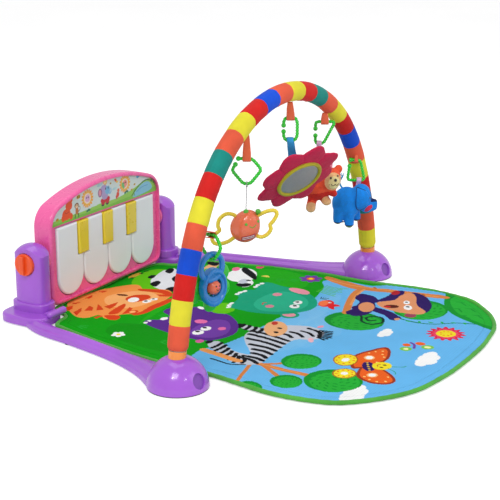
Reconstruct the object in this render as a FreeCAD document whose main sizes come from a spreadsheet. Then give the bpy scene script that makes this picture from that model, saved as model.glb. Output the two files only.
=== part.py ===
import FreeCAD, Part
import math, os
import Sketcher
from FreeCAD import Vector, Placement, Rotation

# Activity play gym: a padded floor mat held between two side rails, a fabric
# covered hoop that plugs into two dome feet, five hanging toys, and a tilting
# kick piano carried between two posts.
# Axes: +Z up, +Y from the hoop towards the piano, +X to the right when facing
# the piano.  Origin: on the floor, midway between the two dome feet.
# "Front" is the -Y side, facing the hoop; "rear" is the +Y side.

SIZES = {
    # dome feet and their release buttons
    "foot_span_half": 342.5, "dome_radius": 51.0, "dome_wall": 3.5, "pad_height": 1.5,
    "socket_radius": 17.0, "socket_height": 46.0, "socket_bore": 12.6,
    "button_radius": 13.0, "button_bore": 13.1, "button_near": 41.0, "button_long": 5.0,
    "button_tilt": 22.0,
    # rails and posts
    "rail_wall": 2.5, "flange_wide": 38.0, "flange_half": 52.0, "flange_height": 15.0,
    "post_x": 203.0, "post_y": 414.0, "post_wide": 20.0, "post_half": 33.0,
    "post_top": 141.0, "post_wall": 3.0,
    "collar_wide": 24.5, "collar_half": 39.5, "collar_top": 32.0,
    # piano pivot
    "pivot_z": 105.0, "bolt_radius": 5.0, "bolt_bore": 5.1, "bolt_long": 77.0,
    "knob_radius": 20.5, "knob_thick": 7.0, "rib_wide": 9.0, "rib_long": 34.0, "rib_high": 9.0,
    # hoop
    "hoop_radius": 316.0, "hoop_centre_z": 107.5, "hoop_half_angle": 62.8,
    "leg_radius": 606.0, "leg_end_z": 62.0, "leg_foot_z": 8.0,
    "tube_radius": 12.5, "tube_bore": 10.5, "sleeve_radius": 17.0, "sleeve_bore": 13.0,
    "ring_radius": 14.6, "ring_bore": 12.6, "ring_low": 30.0, "ring_long": 23.0,
    # mat
    "mat_thick": 8.0, "piping_radius": 4.0,
    # piano case
    "panel_half": 176.0, "panel_low": 11.0, "panel_corner": 22.0, "panel_arc": 437.0,
    "panel_arc_z": -210.0, "panel_shoulder": 44.0, "front_depth": 23.0, "rear_depth": 18.0,
    "case_wall": 3.0, "bezel_wide": 7.0, "recess_deep": 6.0, "edge_round": 6.0,
    "boss_radius": 22.0, "boss_long": 6.4,
    # keys and label
    "key_pitch": 77.0, "key_wide": 75.0, "key_low": 22.0, "key_top": 158.0,
    "key_thick": 11.0, "key_back": 404.0, "key_edge": 5.0,
    "short_wide": 30.0, "short_low": 95.0, "short_thick": 13.5, "short_edge": 2.5,
    "label_low": 162.5, "label_thick": 0.8,
    # piano inside and rear face
    "sheet_thick": 1.5, "sheet_wide": 296.0, "sheet_low": 42.0, "sheet_high": 112.0,
    "board_thick": 1.6, "board_wide": 240.0,
    "speaker_radius": 24.0, "cell_radius": 7.1, "cell_long": 50.0,
    "door_wide": 64.0, "door_high": 54.0, "door_thick": 2.2, "door_low": 112.0,
    "switch_wide": 8.0, "switch_high": 6.0,
    # toys
    "link_rod": 2.6, "link_bead": 4.2, "loop_wide": 14.0, "loop_open": 4.2, "loop_thick": 1.4,
    "flower_radius": 77.0, "flower_scallop": 6.0, "flower_thick": 8.0,
    "mirror_radius": 38.0, "mirror_rim": 45.0,
    "bug_long": 29.0, "bug_wide": 24.0, "bug_deep": 20.0, "ball_radius": 12.5,
}

doc = FreeCAD.newDocument("PlayGym")
sheet = doc.addObject("Spreadsheet::Sheet", "Sizes")
for row, (alias, value) in enumerate(SIZES.items(), start=1):
    sheet.set("A%d" % row, alias)
    sheet.set("B%d" % row, str(value))
    sheet.setAlias("B%d" % row, alias)
doc.recompute()

SIDES = (("left", -1), ("right", 1))
UP = Vector(0, 0, 1)
nodes = []      # (label, object) of every piece to export


def size(alias):
    """A driving size, read from the sheet."""
    return float(sheet.get(alias))


BASE_Z = size("pad_height")     # underside of feet and rails
POST_X, POST_Y = size("post_x"), size("post_y")
PIVOT_Z = size("pivot_z")
GAP = 0.02                      # clearance between touching pieces


# ---------------------------------------------------------------- document objects
def node(obj, label):
    """Label an object and list it as a piece."""
    obj.Label = label
    nodes.append((label, obj))
    return obj


def shape_node(label, shape):
    """A piece whose free-form shape is set directly."""
    obj = doc.addObject("Part::Feature", label)
    obj.Shape = shape
    node(obj, label)


def compound_node(label, links):
    group = doc.addObject("Part::Compound", label + "_group")
    group.Links = links
    node(group, label)


def primitive(kind, name, placement, **values):
    """A Part primitive; values given as text are sheet expressions."""
    obj = doc.addObject("Part::" + kind, name)
    obj.Placement = placement
    for key, value in values.items():
        if isinstance(value, str):
            obj.setExpression(key, value)
        else:
            setattr(obj, key, value)
    return obj


def boolean(kind, name, base, tool):
    obj = doc.addObject("Part::" + kind, name)
    obj.Base = base
    obj.Tool = tool
    return obj


def moved(x, y, z):
    return Placement(Vector(x, y, z), Rotation())


def along(direction, origin):
    """A placement at origin with its Z axis along direction."""
    return Placement(Vector(*origin), Rotation(UP, Vector(*direction)))


# ---------------------------------------------------------------- shapes
def unit(vector):
    result = Vector(vector)
    result.normalize()
    return result


def mirror_x(shape):
    return shape.mirror(Vector(0, 0, 0), Vector(1, 0, 0))


def lies_at(edge, axis, position):
    """Whether an edge lies in the plane where the named axis has this value."""
    box = edge.BoundBox
    return (abs(getattr(box, axis + "Min") - position) < 0.01
            and abs(getattr(box, axis + "Max") - position) < 0.01)


def closed_spline(points):
    curve = Part.BSplineCurve()
    curve.interpolate(points, PeriodicFlag=True)
    return curve.toShape()


def super_prism(x, y, radius_x, radius_y, power, low, high, count=28):
    """An upright prism on a superellipse, a rounded rectangle."""
    points = []
    for i in range(count):
        angle = 2 * math.pi * i / count
        cos, sin = math.cos(angle), math.sin(angle)
        points.append(Vector(x + radius_x * math.copysign(abs(cos) ** (2.0 / power), cos),
                             y + radius_y * math.copysign(abs(sin) ** (2.0 / power), sin), low))
    return Part.Face(Part.Wire([closed_spline(points)])).extrude(Vector(0, 0, high - low))


def round_top(prism, top, radius):
    return prism.makeFillet(radius, [e for e in prism.Edges if lies_at(e, "Z", top)])


def stadium(top, low, axis, wide, radius):
    """A round-ended slot shape from top to low, extruded by wide along axis."""
    axis, down = unit(axis), unit(low - top)
    side = axis.cross(down)
    start = axis * (-wide / 2.0)
    top_right, low_right = top + side * radius + start, low + side * radius + start
    low_left, top_left = low - side * radius + start, top - side * radius + start
    wire = Part.Wire([
        Part.makeLine(top_right, low_right),
        Part.Arc(low_right, low + down * radius + start, low_left).toShape(),
        Part.makeLine(low_left, top_left),
        Part.Arc(top_left, top - down * radius + start, top_right).toShape()])
    return Part.Face(wire).extrude(axis * wide)


def rounded_path(points, radius):
    """An open run of straight lines with rounded corners."""
    edges, last = [], points[0]
    for before, corner, after in zip(points, points[1:], points[2:]):
        back, ahead = unit(before - corner), unit(after - corner)
        half_angle = math.acos(max(-1, min(1, back.dot(ahead)))) / 2.0
        trim = min(radius / math.tan(half_angle),
                   (before - corner).Length * 0.45, (after - corner).Length * 0.45)
        fitted = trim * math.tan(half_angle)
        start, end = corner + back * trim, corner + ahead * trim
        bisector = unit(back + ahead)
        centre = corner + bisector * (fitted / math.sin(half_angle))
        edges.append(Part.makeLine(last, start))
        edges.append(Part.Arc(start, centre - bisector * fitted, end).toShape())
        last = end
    edges.append(Part.makeLine(last, points[-1]))
    return Part.Wire(edges)


def rod(points, radius, corner, bead=0.0):
    """A round rod along a rounded path, with an optional ball at each end."""
    ring = Part.Wire([Part.makeCircle(radius, points[0], points[1] - points[0])])
    body = rounded_path(points, corner).makePipeShell([ring], True, True)
    if bead:
        body = body.fuse([Part.makeSphere(bead, points[0]), Part.makeSphere(bead, points[-1])])
    return body


def capsule(start, end, radius):
    """A bar between two points with slightly larger ball ends."""
    bar = Part.makeCylinder(radius * 0.96, (end - start).Length, start, end - start)
    return bar.fuse([Part.makeSphere(radius, start), Part.makeSphere(radius, end)])


# ---------------------------------------------------------------- bodies and sketches
def new_body(label, x, y):
    body = doc.addObject("PartDesign::Body", label)
    body.Placement = moved(x, y, 0)
    return node(body, label)


def sketch_on(body, role, name, shift=0.0):
    """A sketch on an origin plane, shifted along its normal by a number or expression.

    XZ_Plane faces -Y and is drawn in (x, z); YZ_Plane faces +X and is drawn in (y, z).
    """
    sketch = body.newObject("Sketcher::SketchObject", name)
    plane = next(f for f in body.Origin.OriginFeatures if f.Role == role)
    sketch.AttachmentSupport = [(plane, "")]
    sketch.MapMode = "FlatFace"
    if isinstance(shift, str):
        sketch.setExpression("AttachmentOffset.Base.z", shift)
    elif shift:
        sketch.AttachmentOffset = moved(0, 0, shift)
    return sketch


def chain(*points):
    """Line segments joining the points in turn."""
    return list(zip(points, points[1:]))


def draw(sketch, segments):
    """Draw lines (two points) and arcs (three points)."""
    for segment in segments:
        points = [Vector(x, y, 0) for x, y in segment]
        make = Part.LineSegment if len(points) == 2 else Part.Arc
        sketch.addGeometry(make(*points), False)


def draw_rect(sketch, x0, y0, x1, y1, wide=None, high=None):
    """A rectangle held by constraints; wide and high may be sheet expressions."""
    corners = [Vector(x0, y0, 0), Vector(x1, y0, 0), Vector(x1, y1, 0), Vector(x0, y1, 0)]
    base = sketch.GeometryCount
    for i in range(4):
        sketch.addGeometry(Part.LineSegment(corners[i], corners[(i + 1) % 4]), False)
    constrain = Sketcher.Constraint
    joints = [constrain("Coincident", base + i, 2, base + (i + 1) % 4, 1) for i in range(4)]
    sketch.addConstraint(joints + [
        constrain("Horizontal", base), constrain("Horizontal", base + 2),
        constrain("Vertical", base + 1), constrain("Vertical", base + 3)])
    sketch.addConstraint(constrain("DistanceX", -1, 1, base, 1, x0))
    sketch.addConstraint(constrain("DistanceY", -1, 1, base, 1, y0))
    width = sketch.addConstraint(constrain("DistanceX", base, 1, base, 2, x1 - x0))
    height = sketch.addConstraint(constrain("DistanceY", base + 1, 1, base + 1, 2, y1 - y0))
    if wide:
        sketch.setExpression("Constraints[%d]" % width, wide)
    if high:
        sketch.setExpression("Constraints[%d]" % height, high)


def draw_pivot_circle(sketch, radius_alias):
    """A circle about the piano pivot, on a YZ sketch."""
    radius = size(radius_alias)
    base = sketch.GeometryCount
    sketch.addGeometry(Part.Circle(Vector(0, PIVOT_Z, 0), UP, radius), False)
    sketch.addConstraint(Sketcher.Constraint("DistanceX", -1, 1, base, 3, 0.0))
    sketch.addConstraint(Sketcher.Constraint("DistanceY", -1, 1, base, 3, PIVOT_Z))
    index = sketch.addConstraint(Sketcher.Constraint("Radius", base, radius))
    sketch.setExpression("Constraints[%d]" % index, "Sizes." + radius_alias)


def pad(body, sketch, length, name, reverse=False):
    feature = body.newObject("PartDesign::Pad", name)
    feature.Profile = sketch
    feature.Reversed = reverse
    feature.setExpression("Length", length)
    doc.recompute()
    return feature


def pocket(body, sketch, length, name, reverse=False):
    """A pocket of the given length expression, or through everything if it is None."""
    before = body.Shape.Volume
    feature = body.newObject("PartDesign::Pocket", name)
    feature.Profile = sketch
    feature.Reversed = reverse
    if length is None:
        feature.Type = 1
    else:
        feature.setExpression("Length", length)
    doc.recompute()
    if not body.Shape.Volume < before - 0.01:
        raise RuntimeError("%s: %s cut nothing" % (body.Label, name))


def round_face(body, feature, radius, y, name):
    """Fillet the edges lying in the plane at y, in the body's own frame."""
    edges = ["Edge%d" % (i + 1) for i, edge in enumerate(feature.Shape.Edges)
             if lies_at(edge, "Y", y)]
    if not edges:
        raise RuntimeError("%s: no edges for %s" % (body.Label, name))
    fillet = body.newObject("PartDesign::Fillet", name)
    fillet.Base = (feature, edges)
    fillet.setExpression("Radius", radius)
    doc.recompute()


# ================================================================ arch geometry
# Right half in the XZ plane: the hoop arc meets a wider leg arc, which ends in a
# straight foot leaning outwards as it goes down.
HOOP_ANGLE = size("hoop_half_angle")        # degrees from the vertical
HOOP_RADIUS, LEG_RADIUS = size("hoop_radius"), size("leg_radius")
HOOP_CENTRE = Vector(0, 0, size("hoop_centre_z"))
join_angle = math.radians(HOOP_ANGLE)
join_normal = Vector(math.sin(join_angle), 0, math.cos(join_angle))
LEG_CENTRE = HOOP_CENTRE + join_normal * (HOOP_RADIUS - LEG_RADIUS)
foot_sin = (size("leg_end_z") - LEG_CENTRE.z) / LEG_RADIUS
foot_cos = math.sqrt(1 - foot_sin ** 2)
LEG_END = Vector(LEG_CENTRE.x + LEG_RADIUS * foot_cos, 0, size("leg_end_z"))
LEG_UP = Vector(-foot_sin, 0, foot_cos)     # along the straight foot, upwards
STRAIGHT_LONG = (LEG_END.z - size("leg_foot_z")) / foot_cos
LEG_FOOT = LEG_END - LEG_UP * STRAIGHT_LONG


def on_side(vector, side):
    """The right hand vector taken to the given side."""
    return Vector(side * vector.x, vector.y, vector.z)


def ring_placement(side):
    return along(on_side(LEG_UP, side),
                 on_side(LEG_FOOT + LEG_UP * size("ring_low"), side))


# ================================================================ feet
SOCKET_INSET = 3.0      # socket axis inwards of the tube's lower end
BUTTON_TURN = 9.0       # degrees from -Y towards -X, the same on both feet


def dome_foot(name, side):
    """A hollow dome with a leaning socket for the leg, and its release button."""
    base = Vector(side * size("foot_span_half"), 0, BASE_Z)
    outer = primitive("Sphere", name + "_dome_outer", moved(*base),
                      Radius="Sizes.dome_radius", Angle1=0.0)
    inner = primitive("Sphere", name + "_dome_inner", moved(*base),
                      Radius="Sizes.dome_radius - Sizes.dome_wall")
    socket = primitive("Cylinder", name + "_socket",
                       moved(side * (LEG_FOOT.x - SOCKET_INSET), 0, BASE_Z),
                       Radius="Sizes.socket_radius", Height="Sizes.socket_height")
    dome = boolean("Cut", name + "_dome_shell", outer, inner)
    dome = boolean("Fuse", name + "_dome_socketed", dome, socket)
    bore = primitive("Cylinder", name + "_socket_cut",
                     along(on_side(LEG_UP, side), on_side(LEG_FOOT, side)),
                     Radius="Sizes.socket_bore", Height=80.0)
    dome = boolean("Cut", name + "_dome_bored", dome, bore)
    seat = primitive("Cylinder", name + "_ring_seat", ring_placement(side),
                     Radius="Sizes.ring_radius + 0.1", Height=60.0)
    dome = boolean("Cut", name + "_dome_seated", dome, seat)

    tilt, turn = math.radians(size("button_tilt")), math.radians(BUTTON_TURN)
    outward = Vector(-math.sin(turn) * math.cos(tilt), -math.cos(turn) * math.cos(tilt),
                     math.sin(tilt))
    near = size("button_near")
    hole = primitive("Cylinder", name + "_button_cut",
                     along(outward, base + outward * (near - 5)),
                     Radius="Sizes.button_bore", Height=30.0)
    node(boolean("Cut", name + "_foot_dome_cut", dome, hole), name + "_foot_dome")
    button = primitive("Cylinder", name + "_button_body",
                       along(outward, base + outward * near),
                       Radius="Sizes.button_radius", Height="Sizes.button_long")
    node(button, name + "_release_button")


def leg_collar(name, side):
    """A ring round the straight foot of a leg."""
    outer, hole = [primitive("Cylinder", name + suffix, ring_placement(side),
                             Radius=radius, Height="Sizes.ring_long")
                   for suffix, radius in (("_ring_outer", "Sizes.ring_radius"),
                                          ("_ring_hole", "Sizes.ring_bore"))]
    return boolean("Cut", name + "_ring", outer, hole)


for name, side in SIDES:
    dome_foot(name, side)
compound_node("leg_collars", [leg_collar(name, side) for name, side in SIDES])

# ================================================================ rails
# Stations of the right rail: y, outer edge x, inner edge x, height
RAIL_STATIONS = [
    (24.0, 384.0, 300.0, 20.0), (50.0, 366.0, 297.0, 18.5), (73.0, 350.0, 295.0, 17.5),
    (121.0, 327.0, 289.0, 17.0), (178.0, 309.0, 279.5, 17.0), (232.0, 297.0, 268.0, 17.0),
    (282.0, 288.0, 257.0, 16.5), (337.0, 279.0, 243.0, 15.0), (372.0, 266.0, 228.0, 13.5),
    (405.0, 253.0, 215.0, 12.0),
]
# Rail cross-section: share of the width from the inner edge, share of the height
RAIL_PROFILE = [
    (0.0, 0.0), (0.015, 0.34), (0.07, 0.56), (0.17, 0.62), (0.28, 0.70), (0.40, 0.95),
    (0.52, 1.0), (0.64, 0.95), (0.75, 0.72), (0.86, 0.62), (0.94, 0.54), (0.985, 0.30),
    (1.0, 0.0),
]
RAIL_WALL = size("rail_wall")
FLANGE_X, FLANGE_Y = POST_X + 17, POST_Y - 7
FLANGE_TOP = BASE_Z + size("flange_height")
COVER_INSET = RAIL_WALL + 0.15
COVER_THICK = 1.8
PEG_RADIUS = 6.5
DOME_CORD = 37.0        # radius of the ball that domes the post top


def rail_section(y, outer, inner, height, inset):
    """One closed section; an inset section also starts 1 mm lower."""
    outer, inner, height = outer - inset, inner + inset, height - inset * 0.9
    extra = 1.0 if inset else 0.0
    top = [Vector(inner + (outer - inner) * across, y, BASE_Z - extra + (height + extra) * rise)
           for across, rise in RAIL_PROFILE]
    curve = Part.BSplineCurve()
    curve.interpolate(top)
    return Part.Wire([curve.toShape(), Part.makeLine(top[-1], top[0])])


def rail_loft(inset):
    return Part.makeLoft([rail_section(*station, inset) for station in RAIL_STATIONS],
                         True, False)


def front_block(long):
    """A block over the front end of the right rail, where it stays solid."""
    return Part.makeBox(200, long, 60, Vector(240, -5, -5))


def flange_prism(inset, low, high):
    return super_prism(FLANGE_X, FLANGE_Y, size("flange_wide") - inset,
                       size("flange_half") - inset, 3.2, low, high)


def right_rail():
    """The hollow rail with the flange under the post and a peg in front of it."""
    flange = round_top(flange_prism(0.0, BASE_Z, FLANGE_TOP), FLANGE_TOP, 5.0)
    outer = rail_loft(0.0).fuse(flange)
    hollow = rail_loft(RAIL_WALL).cut(front_block(59))
    dome = Part.makeSphere(size("dome_radius") + 0.05,
                           Vector(size("foot_span_half"), 0, BASE_Z))
    rail = outer.cut(hollow)
    rail = rail.cut(flange_prism(RAIL_WALL, BASE_Z - 1, FLANGE_TOP - RAIL_WALL))
    rail = rail.cut(dome)
    # horizontal peg, ball-ended on its outer side, with a block under it
    peg_end = Vector(229, 354, BASE_Z + 19)
    peg = Part.makeCylinder(PEG_RADIUS, 38, peg_end, Vector(-1, 0, 0))
    peg = peg.fuse(Part.makeSphere(PEG_RADIUS, peg_end))
    block = Part.makeBox(28, 14, 10, Vector(199, 357, BASE_Z + 9))
    return rail.fuse(peg.fuse(block))


def right_cover():
    """The flat plate closing the underside of the rail and flange."""
    low = BASE_Z + GAP
    slab = Part.makeBox(400, 600, COVER_THICK, Vector(70, 0, low))
    plate = rail_loft(COVER_INSET).common(slab).cut(front_block(60))
    return plate.fuse(flange_prism(COVER_INSET, low, low + COVER_THICK))


def post_column(inset, low):
    """The rounded square column with a domed top."""
    wide, half = size("post_wide") - inset, size("post_half") - inset
    top = size("post_top")
    dome_z = top - DOME_CORD
    ball = Part.makeSphere(DOME_CORD - inset, Vector(POST_X, POST_Y, dome_z))
    lower = super_prism(POST_X, POST_Y, wide, half, 3.0, low, dome_z)
    upper = super_prism(POST_X, POST_Y, wide, half, 3.0, dome_z, top + 2).common(ball)
    return lower.fuse(upper)


def right_post():
    """The hollow post on its collar, with a knob seat sunk in its outer face."""
    base = FLANGE_TOP + GAP
    collar_top = size("collar_top")
    collar = super_prism(POST_X, POST_Y, size("collar_wide"), size("collar_half"), 3.2,
                         base, collar_top)
    collar = round_top(collar, collar_top, 2.5)
    solid = post_column(0.0, base)
    post = solid.fuse(collar).cut(post_column(size("post_wall"), base - 2))

    def pivot_cylinder(radius, long, x):
        return Part.makeCylinder(radius, long, Vector(x, POST_Y, PIVOT_Z), Vector(1, 0, 0))

    outer_face = POST_X + size("post_wide")
    seat_radius = size("knob_radius") + 1.0
    drill = pivot_cylinder(size("bolt_bore"), 120, POST_X - 60)
    seat_floor = pivot_cylinder(seat_radius, 2.0, outer_face - 4.0).common(solid)
    seat = pivot_cylinder(seat_radius, 20, outer_face - 2.0)
    return post.cut(seat).fuse(seat_floor).cut(drill)


for piece, right_shape in (("rail", right_rail()), ("post", right_post())):
    shape_node("right_" + piece, right_shape)
    shape_node("left_" + piece, mirror_x(right_shape))
cover = right_cover()
shape_node("underside_covers", Part.makeCompound([mirror_x(cover), cover]))

# ---------------------------------------------------------------- floor pads and base screws
# x, y on the right hand side
PAD_PLACES = [(318, 98), (283, 270), (240, 436), (202, 436), (202, 378)]
SCREW_PLACES = [(313, 150), (276, 305), (220, 444), (246, 392), (194, 412)]
PAD_RADIUS = 7.0
BASE_SCREW = dict(radius=3.4, thick=1.0, below=1.05)    # below: head's low face under BASE_Z


def floor_pads(side):
    """Five disc pads under a rail and a ring pad under the dome wall."""
    pads = [primitive("Cylinder", "pad_disc", moved(side * x, y, 0),
                      Height="Sizes.pad_height", Radius=PAD_RADIUS) for x, y in PAD_PLACES]
    centre = moved(side * size("foot_span_half"), 0, 0)
    outer = primitive("Cylinder", "pad_ring_outer", centre,
                      Height="Sizes.pad_height", Radius="Sizes.dome_radius - 0.5")
    inner = primitive("Cylinder", "pad_ring_inner", centre,
                      Height="Sizes.pad_height", Radius="Sizes.dome_radius - Sizes.dome_wall")
    return pads + [boolean("Cut", "pad_ring", outer, inner)]


compound_node("floor_pads", floor_pads(-1) + floor_pads(1))
shape_node("base_screws", Part.makeCompound([
    Part.makeCylinder(BASE_SCREW["radius"], BASE_SCREW["thick"],
                      Vector(side * x, y, BASE_Z - BASE_SCREW["below"]), UP)
    for _, side in SIDES for x, y in SCREW_PLACES]))


# ================================================================ lock knobs and clamp bolts
def lock_knob(name, side):
    """A disc with an upright grip rib, drilled for the bolt, on the post's outer face."""
    inner_x = size("post_x") + size("post_wide") - 1.8
    thick = size("knob_thick")
    rib_reach = size("rib_high") + thick - 2
    place = along((side, 0, 0), (side * inner_x, POST_Y, PIVOT_Z))
    disc = primitive("Cylinder", name + "_knob_disc", place,
                     Radius="Sizes.knob_radius", Height="Sizes.knob_thick")
    rib_x = inner_x if side > 0 else -inner_x - rib_reach
    rib = primitive("Box", name + "_knob_rib",
                    moved(rib_x, POST_Y - size("rib_wide") / 2, PIVOT_Z - size("rib_long") / 2),
                    Length="Sizes.rib_high + Sizes.knob_thick - 2",
                    Width="Sizes.rib_wide", Height="Sizes.rib_long")
    raw = boolean("Fuse", name + "_knob_raw", disc, rib)
    drill = primitive("Cylinder", name + "_knob_drill", place,
                      Radius="Sizes.bolt_radius", Height=6.0)
    drilled = boolean("Cut", name + "_knob_cut", raw, drill)
    doc.recompute()

    # round the rib's outer end and the disc's outer rim
    rounded = []
    for i, edge in enumerate(drilled.Shape.Edges, start=1):
        box = edge.BoundBox
        if abs(box.XLength) >= 0.01:
            continue
        if abs(max(abs(box.XMin), abs(box.XMax)) - (inner_x + rib_reach)) < 0.01:
            rounded.append((i, 2.5, 2.5))
        elif (abs(abs(box.XMin) - (inner_x + thick)) < 0.01 and box.ZLength > 30
              and edge.Curve.TypeId.endswith("Circle")):
            rounded.append((i, 2.0, 2.0))
    knob = doc.addObject("Part::Fillet", name + "_knob_round")
    knob.Base = drilled
    knob.Edges = rounded
    node(knob, name + "_knob")
    bolt = primitive("Cylinder", name + "_clamp_bolt_rod",
                     along((-side, 0, 0), (side * (inner_x + 5.9), POST_Y, PIVOT_Z)),
                     Radius="Sizes.bolt_radius", Height="Sizes.bolt_long")
    node(bolt, name + "_clamp_bolt")


for name, side in SIDES:
    lock_knob(name, side)


# ================================================================ hoop
def arc_sweep(centre, radius, start, end, outer, inner):
    """A tube swept about an axis along Y; angles in degrees from +Z towards +X."""
    angle = math.radians(start)
    begin = centre + Vector(radius * math.sin(angle), 0, radius * math.cos(angle))
    normal = Vector(math.cos(angle), 0, -math.sin(angle))
    disc, hole = [Part.Face(Part.Wire([Part.makeCircle(r, begin, normal)]))
                  for r in (outer, inner)]
    return disc.cut(hole).Faces[0].revolve(centre, Vector(0, 1, 0), end - start)


def hoop():
    """Two leg tubes, the top tube plugged onto them, and the fabric sleeve."""
    tube, bore = size("tube_radius"), size("tube_bore")
    sleeve_out, sleeve_in = size("sleeve_radius"), size("sleeve_bore")
    plug_in = bore - 2.5
    leg_angle = math.degrees(math.acos(foot_sin))
    leg = arc_sweep(LEG_CENTRE, LEG_RADIUS, HOOP_ANGLE, leg_angle, tube, bore)
    straight = Part.makeCylinder(tube, STRAIGHT_LONG, LEG_FOOT, LEG_UP)
    straight = straight.cut(Part.makeCylinder(bore, STRAIGHT_LONG, LEG_FOOT, LEG_UP))
    plug = arc_sweep(HOOP_CENTRE, HOOP_RADIUS, HOOP_ANGLE - 5.0, HOOP_ANGLE + 0.2,
                     bore - 0.1, plug_in)
    stop = arc_sweep(HOOP_CENTRE, HOOP_RADIUS, HOOP_ANGLE - 0.001, HOOP_ANGLE + 0.6,
                     bore + 0.2, plug_in)
    right_tube = leg.fuse([straight, plug, stop])
    shape_node("arch_leg_tubes", Part.makeCompound([mirror_x(right_tube), right_tube]))
    shape_node("arch_top_tube", arc_sweep(HOOP_CENTRE, HOOP_RADIUS, -HOOP_ANGLE + 0.02,
                                          HOOP_ANGLE - 0.02, tube, bore))
    leg_sleeve = arc_sweep(LEG_CENTRE, LEG_RADIUS, HOOP_ANGLE, leg_angle - 0.1,
                           sleeve_out, sleeve_in)
    sleeve = arc_sweep(HOOP_CENTRE, HOOP_RADIUS, -HOOP_ANGLE, HOOP_ANGLE,
                       sleeve_out, sleeve_in)
    shape_node("arch_sleeve", sleeve.fuse([leg_sleeve, mirror_x(leg_sleeve)]))


hoop()

# ================================================================ mat
# Right half of the mat outline, x and y, from the front middle to the rear middle
MAT_OUTLINE = [
    (0, -358), (60, -357), (112, -351), (168, -340), (216, -316), (256, -282), (281, -252),
    (293, -217), (300, -171), (299, -127), (291, -75), (285, -40), (283, 0), (284.5, 40),
    (284, 72), (278, 125), (268, 182), (257, 235), (246, 284), (236, 322), (230, 339),
    (211, 348.5), (192, 352), (181, 359), (174, 371), (171, 388), (160, 399), (120, 404),
    (60, 405), (0, 405),
]
mat_curve = closed_spline([Vector(x, y, 0) for x, y in MAT_OUTLINE]
                          + [Vector(-x, y, 0) for x, y in reversed(MAT_OUTLINE[1:-1])])


def mat_prism(outset, height, count=150):
    """The mat outline moved outwards by outset and extruded up from the floor."""
    first, last = mat_curve.FirstParameter, mat_curve.LastParameter
    points = []
    for i in range(count):
        t = first + (last - first) * i / count
        tangent = mat_curve.tangentAt(t)
        # the outline runs anticlockwise, so outwards is to the right of the tangent
        points.append(mat_curve.valueAt(t) + Vector(tangent.y, -tangent.x, 0) * outset)
    return Part.Face(Part.Wire([closed_spline(points)])).extrude(Vector(0, 0, height))


piping = size("piping_radius")
shape_node("mat", mat_prism(-(piping + GAP), size("mat_thick")))
shape_node("mat_piping", mat_prism(piping, 2 * piping).cut(mat_prism(-piping, 2 * piping)))

# ================================================================ toy frame, loops and links
# ACROSS runs sideways across most toys and FACING is the way they face.  Both are
# used as they stand, a hair over unit length.
ACROSS = Vector(0.516, -0.857, 0)
FACING = Vector(-0.857, -0.516, 0)
FORWARD = Vector(0, -1, 0)      # sideways direction of the rattle's loop and link

# where each link hangs in its loop
BUG_HINGE = Vector(-129, 0, 332)
FLOWER_HINGE = Vector(19, 0, 377)
BEAR_HINGE = Vector(148, 0, 348)
ELEPHANT_HINGE = Vector(257.7, -11.6, 256.3)
RATTLE_HINGE = Vector(-240, 0, 227)


def offset(origin, across, up, facing=0.0, side=ACROSS):
    """A point given in the toy's own directions."""
    return origin + side * across + FACING * facing + UP * up


LOOP_WIDE = size("loop_wide")
# Loops on the hoop: top, hinge, axis, width
LOOPS = [
    (Vector(-129, 0, 372), BUG_HINGE, ACROSS, LOOP_WIDE),
    (Vector(17, 0, 404), FLOWER_HINGE, ACROSS, LOOP_WIDE),
    (Vector(148, 0, 364), BEAR_HINGE, ACROSS, LOOP_WIDE),
    (offset(ELEPHANT_HINGE, 0, 10.7, 2), ELEPHANT_HINGE, ACROSS, 7.0),
    (Vector(-268, 0, 235.5), RATTLE_HINGE, FORWARD, LOOP_WIDE),
]
# Links: label, hinge, sideways direction, path as (across, up) from the hinge
LINKS = [
    ("bug_link", BUG_HINGE, ACROSS,
     [(-14, 0), (9, 0), (25, -19), (6, -43), (-6, -43), (-25, -20), (-19, -10)]),
    ("flower_link", FLOWER_HINGE, ACROSS,
     [(-14, -14), (-14, -7), (-9, 0), (9, 0), (14, -8), (14, -33), (8, -41), (-8, -41),
      (-14, -34), (-14, -25)]),
    ("bear_link", BEAR_HINGE, ACROSS,
     [(-17, -13), (-17, 0), (19, 0), (-2, -41), (-17, -41), (-17, -26)]),
    ("elephant_link", ELEPHANT_HINGE, ACROSS,
     [(-10, 0), (8, 0), (17, -40), (-16, -40), (-12.5, -12)]),
    ("rattle_link", RATTLE_HINGE, FORWARD,
     [(-13, 0), (9, 0), (19, -20), (6, -41), (-6, -41), (-20, -21), (-18, -11)]),
]
# points on each link's lower bar
BUG_BAR = offset(BUG_HINGE, 0, -43)
FLOWER_BAR = offset(FLOWER_HINGE, 0, -41)
BEAR_BAR = offset(BEAR_HINGE, -10, -41)
ELEPHANT_BAR = offset(ELEPHANT_HINGE, 6, -40)
RATTLE_BAR = offset(RATTLE_HINGE, 0, -41)


def hanging_loop(top, hinge, axis, wide):
    opening = size("loop_open")
    outer = stadium(top, hinge, axis, wide, opening + size("loop_thick"))
    inner_top = top + unit(hinge - top) * 1.5
    return outer.cut(stadium(inner_top, hinge, axis, wide + 2, opening))


def ribbon(hinge, wide, low, opening=3.4, thick=1.6):
    """A ribbon looped round a link's lower bar, with a single strip down to low."""
    eye = Part.makeCylinder(opening + thick, wide, hinge - ACROSS * (wide / 2), ACROSS)
    eye = eye.cut(Part.makeCylinder(opening, wide + 2, hinge - ACROSS * (wide / 2 + 1), ACROSS))
    down = unit(low - hinge)
    start = hinge + down * (opening + thick * 0.5)
    half_wide = ACROSS * (wide / 2)
    half_thick = ACROSS.cross(down) * (thick / 2)
    corners = [start - half_wide - half_thick, start + half_wide - half_thick,
               start + half_wide + half_thick, start - half_wide + half_thick]
    strip = Part.Face(Part.makePolygon(corners + [corners[0]])).extrude(low - start)
    return eye.fuse(strip)


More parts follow.
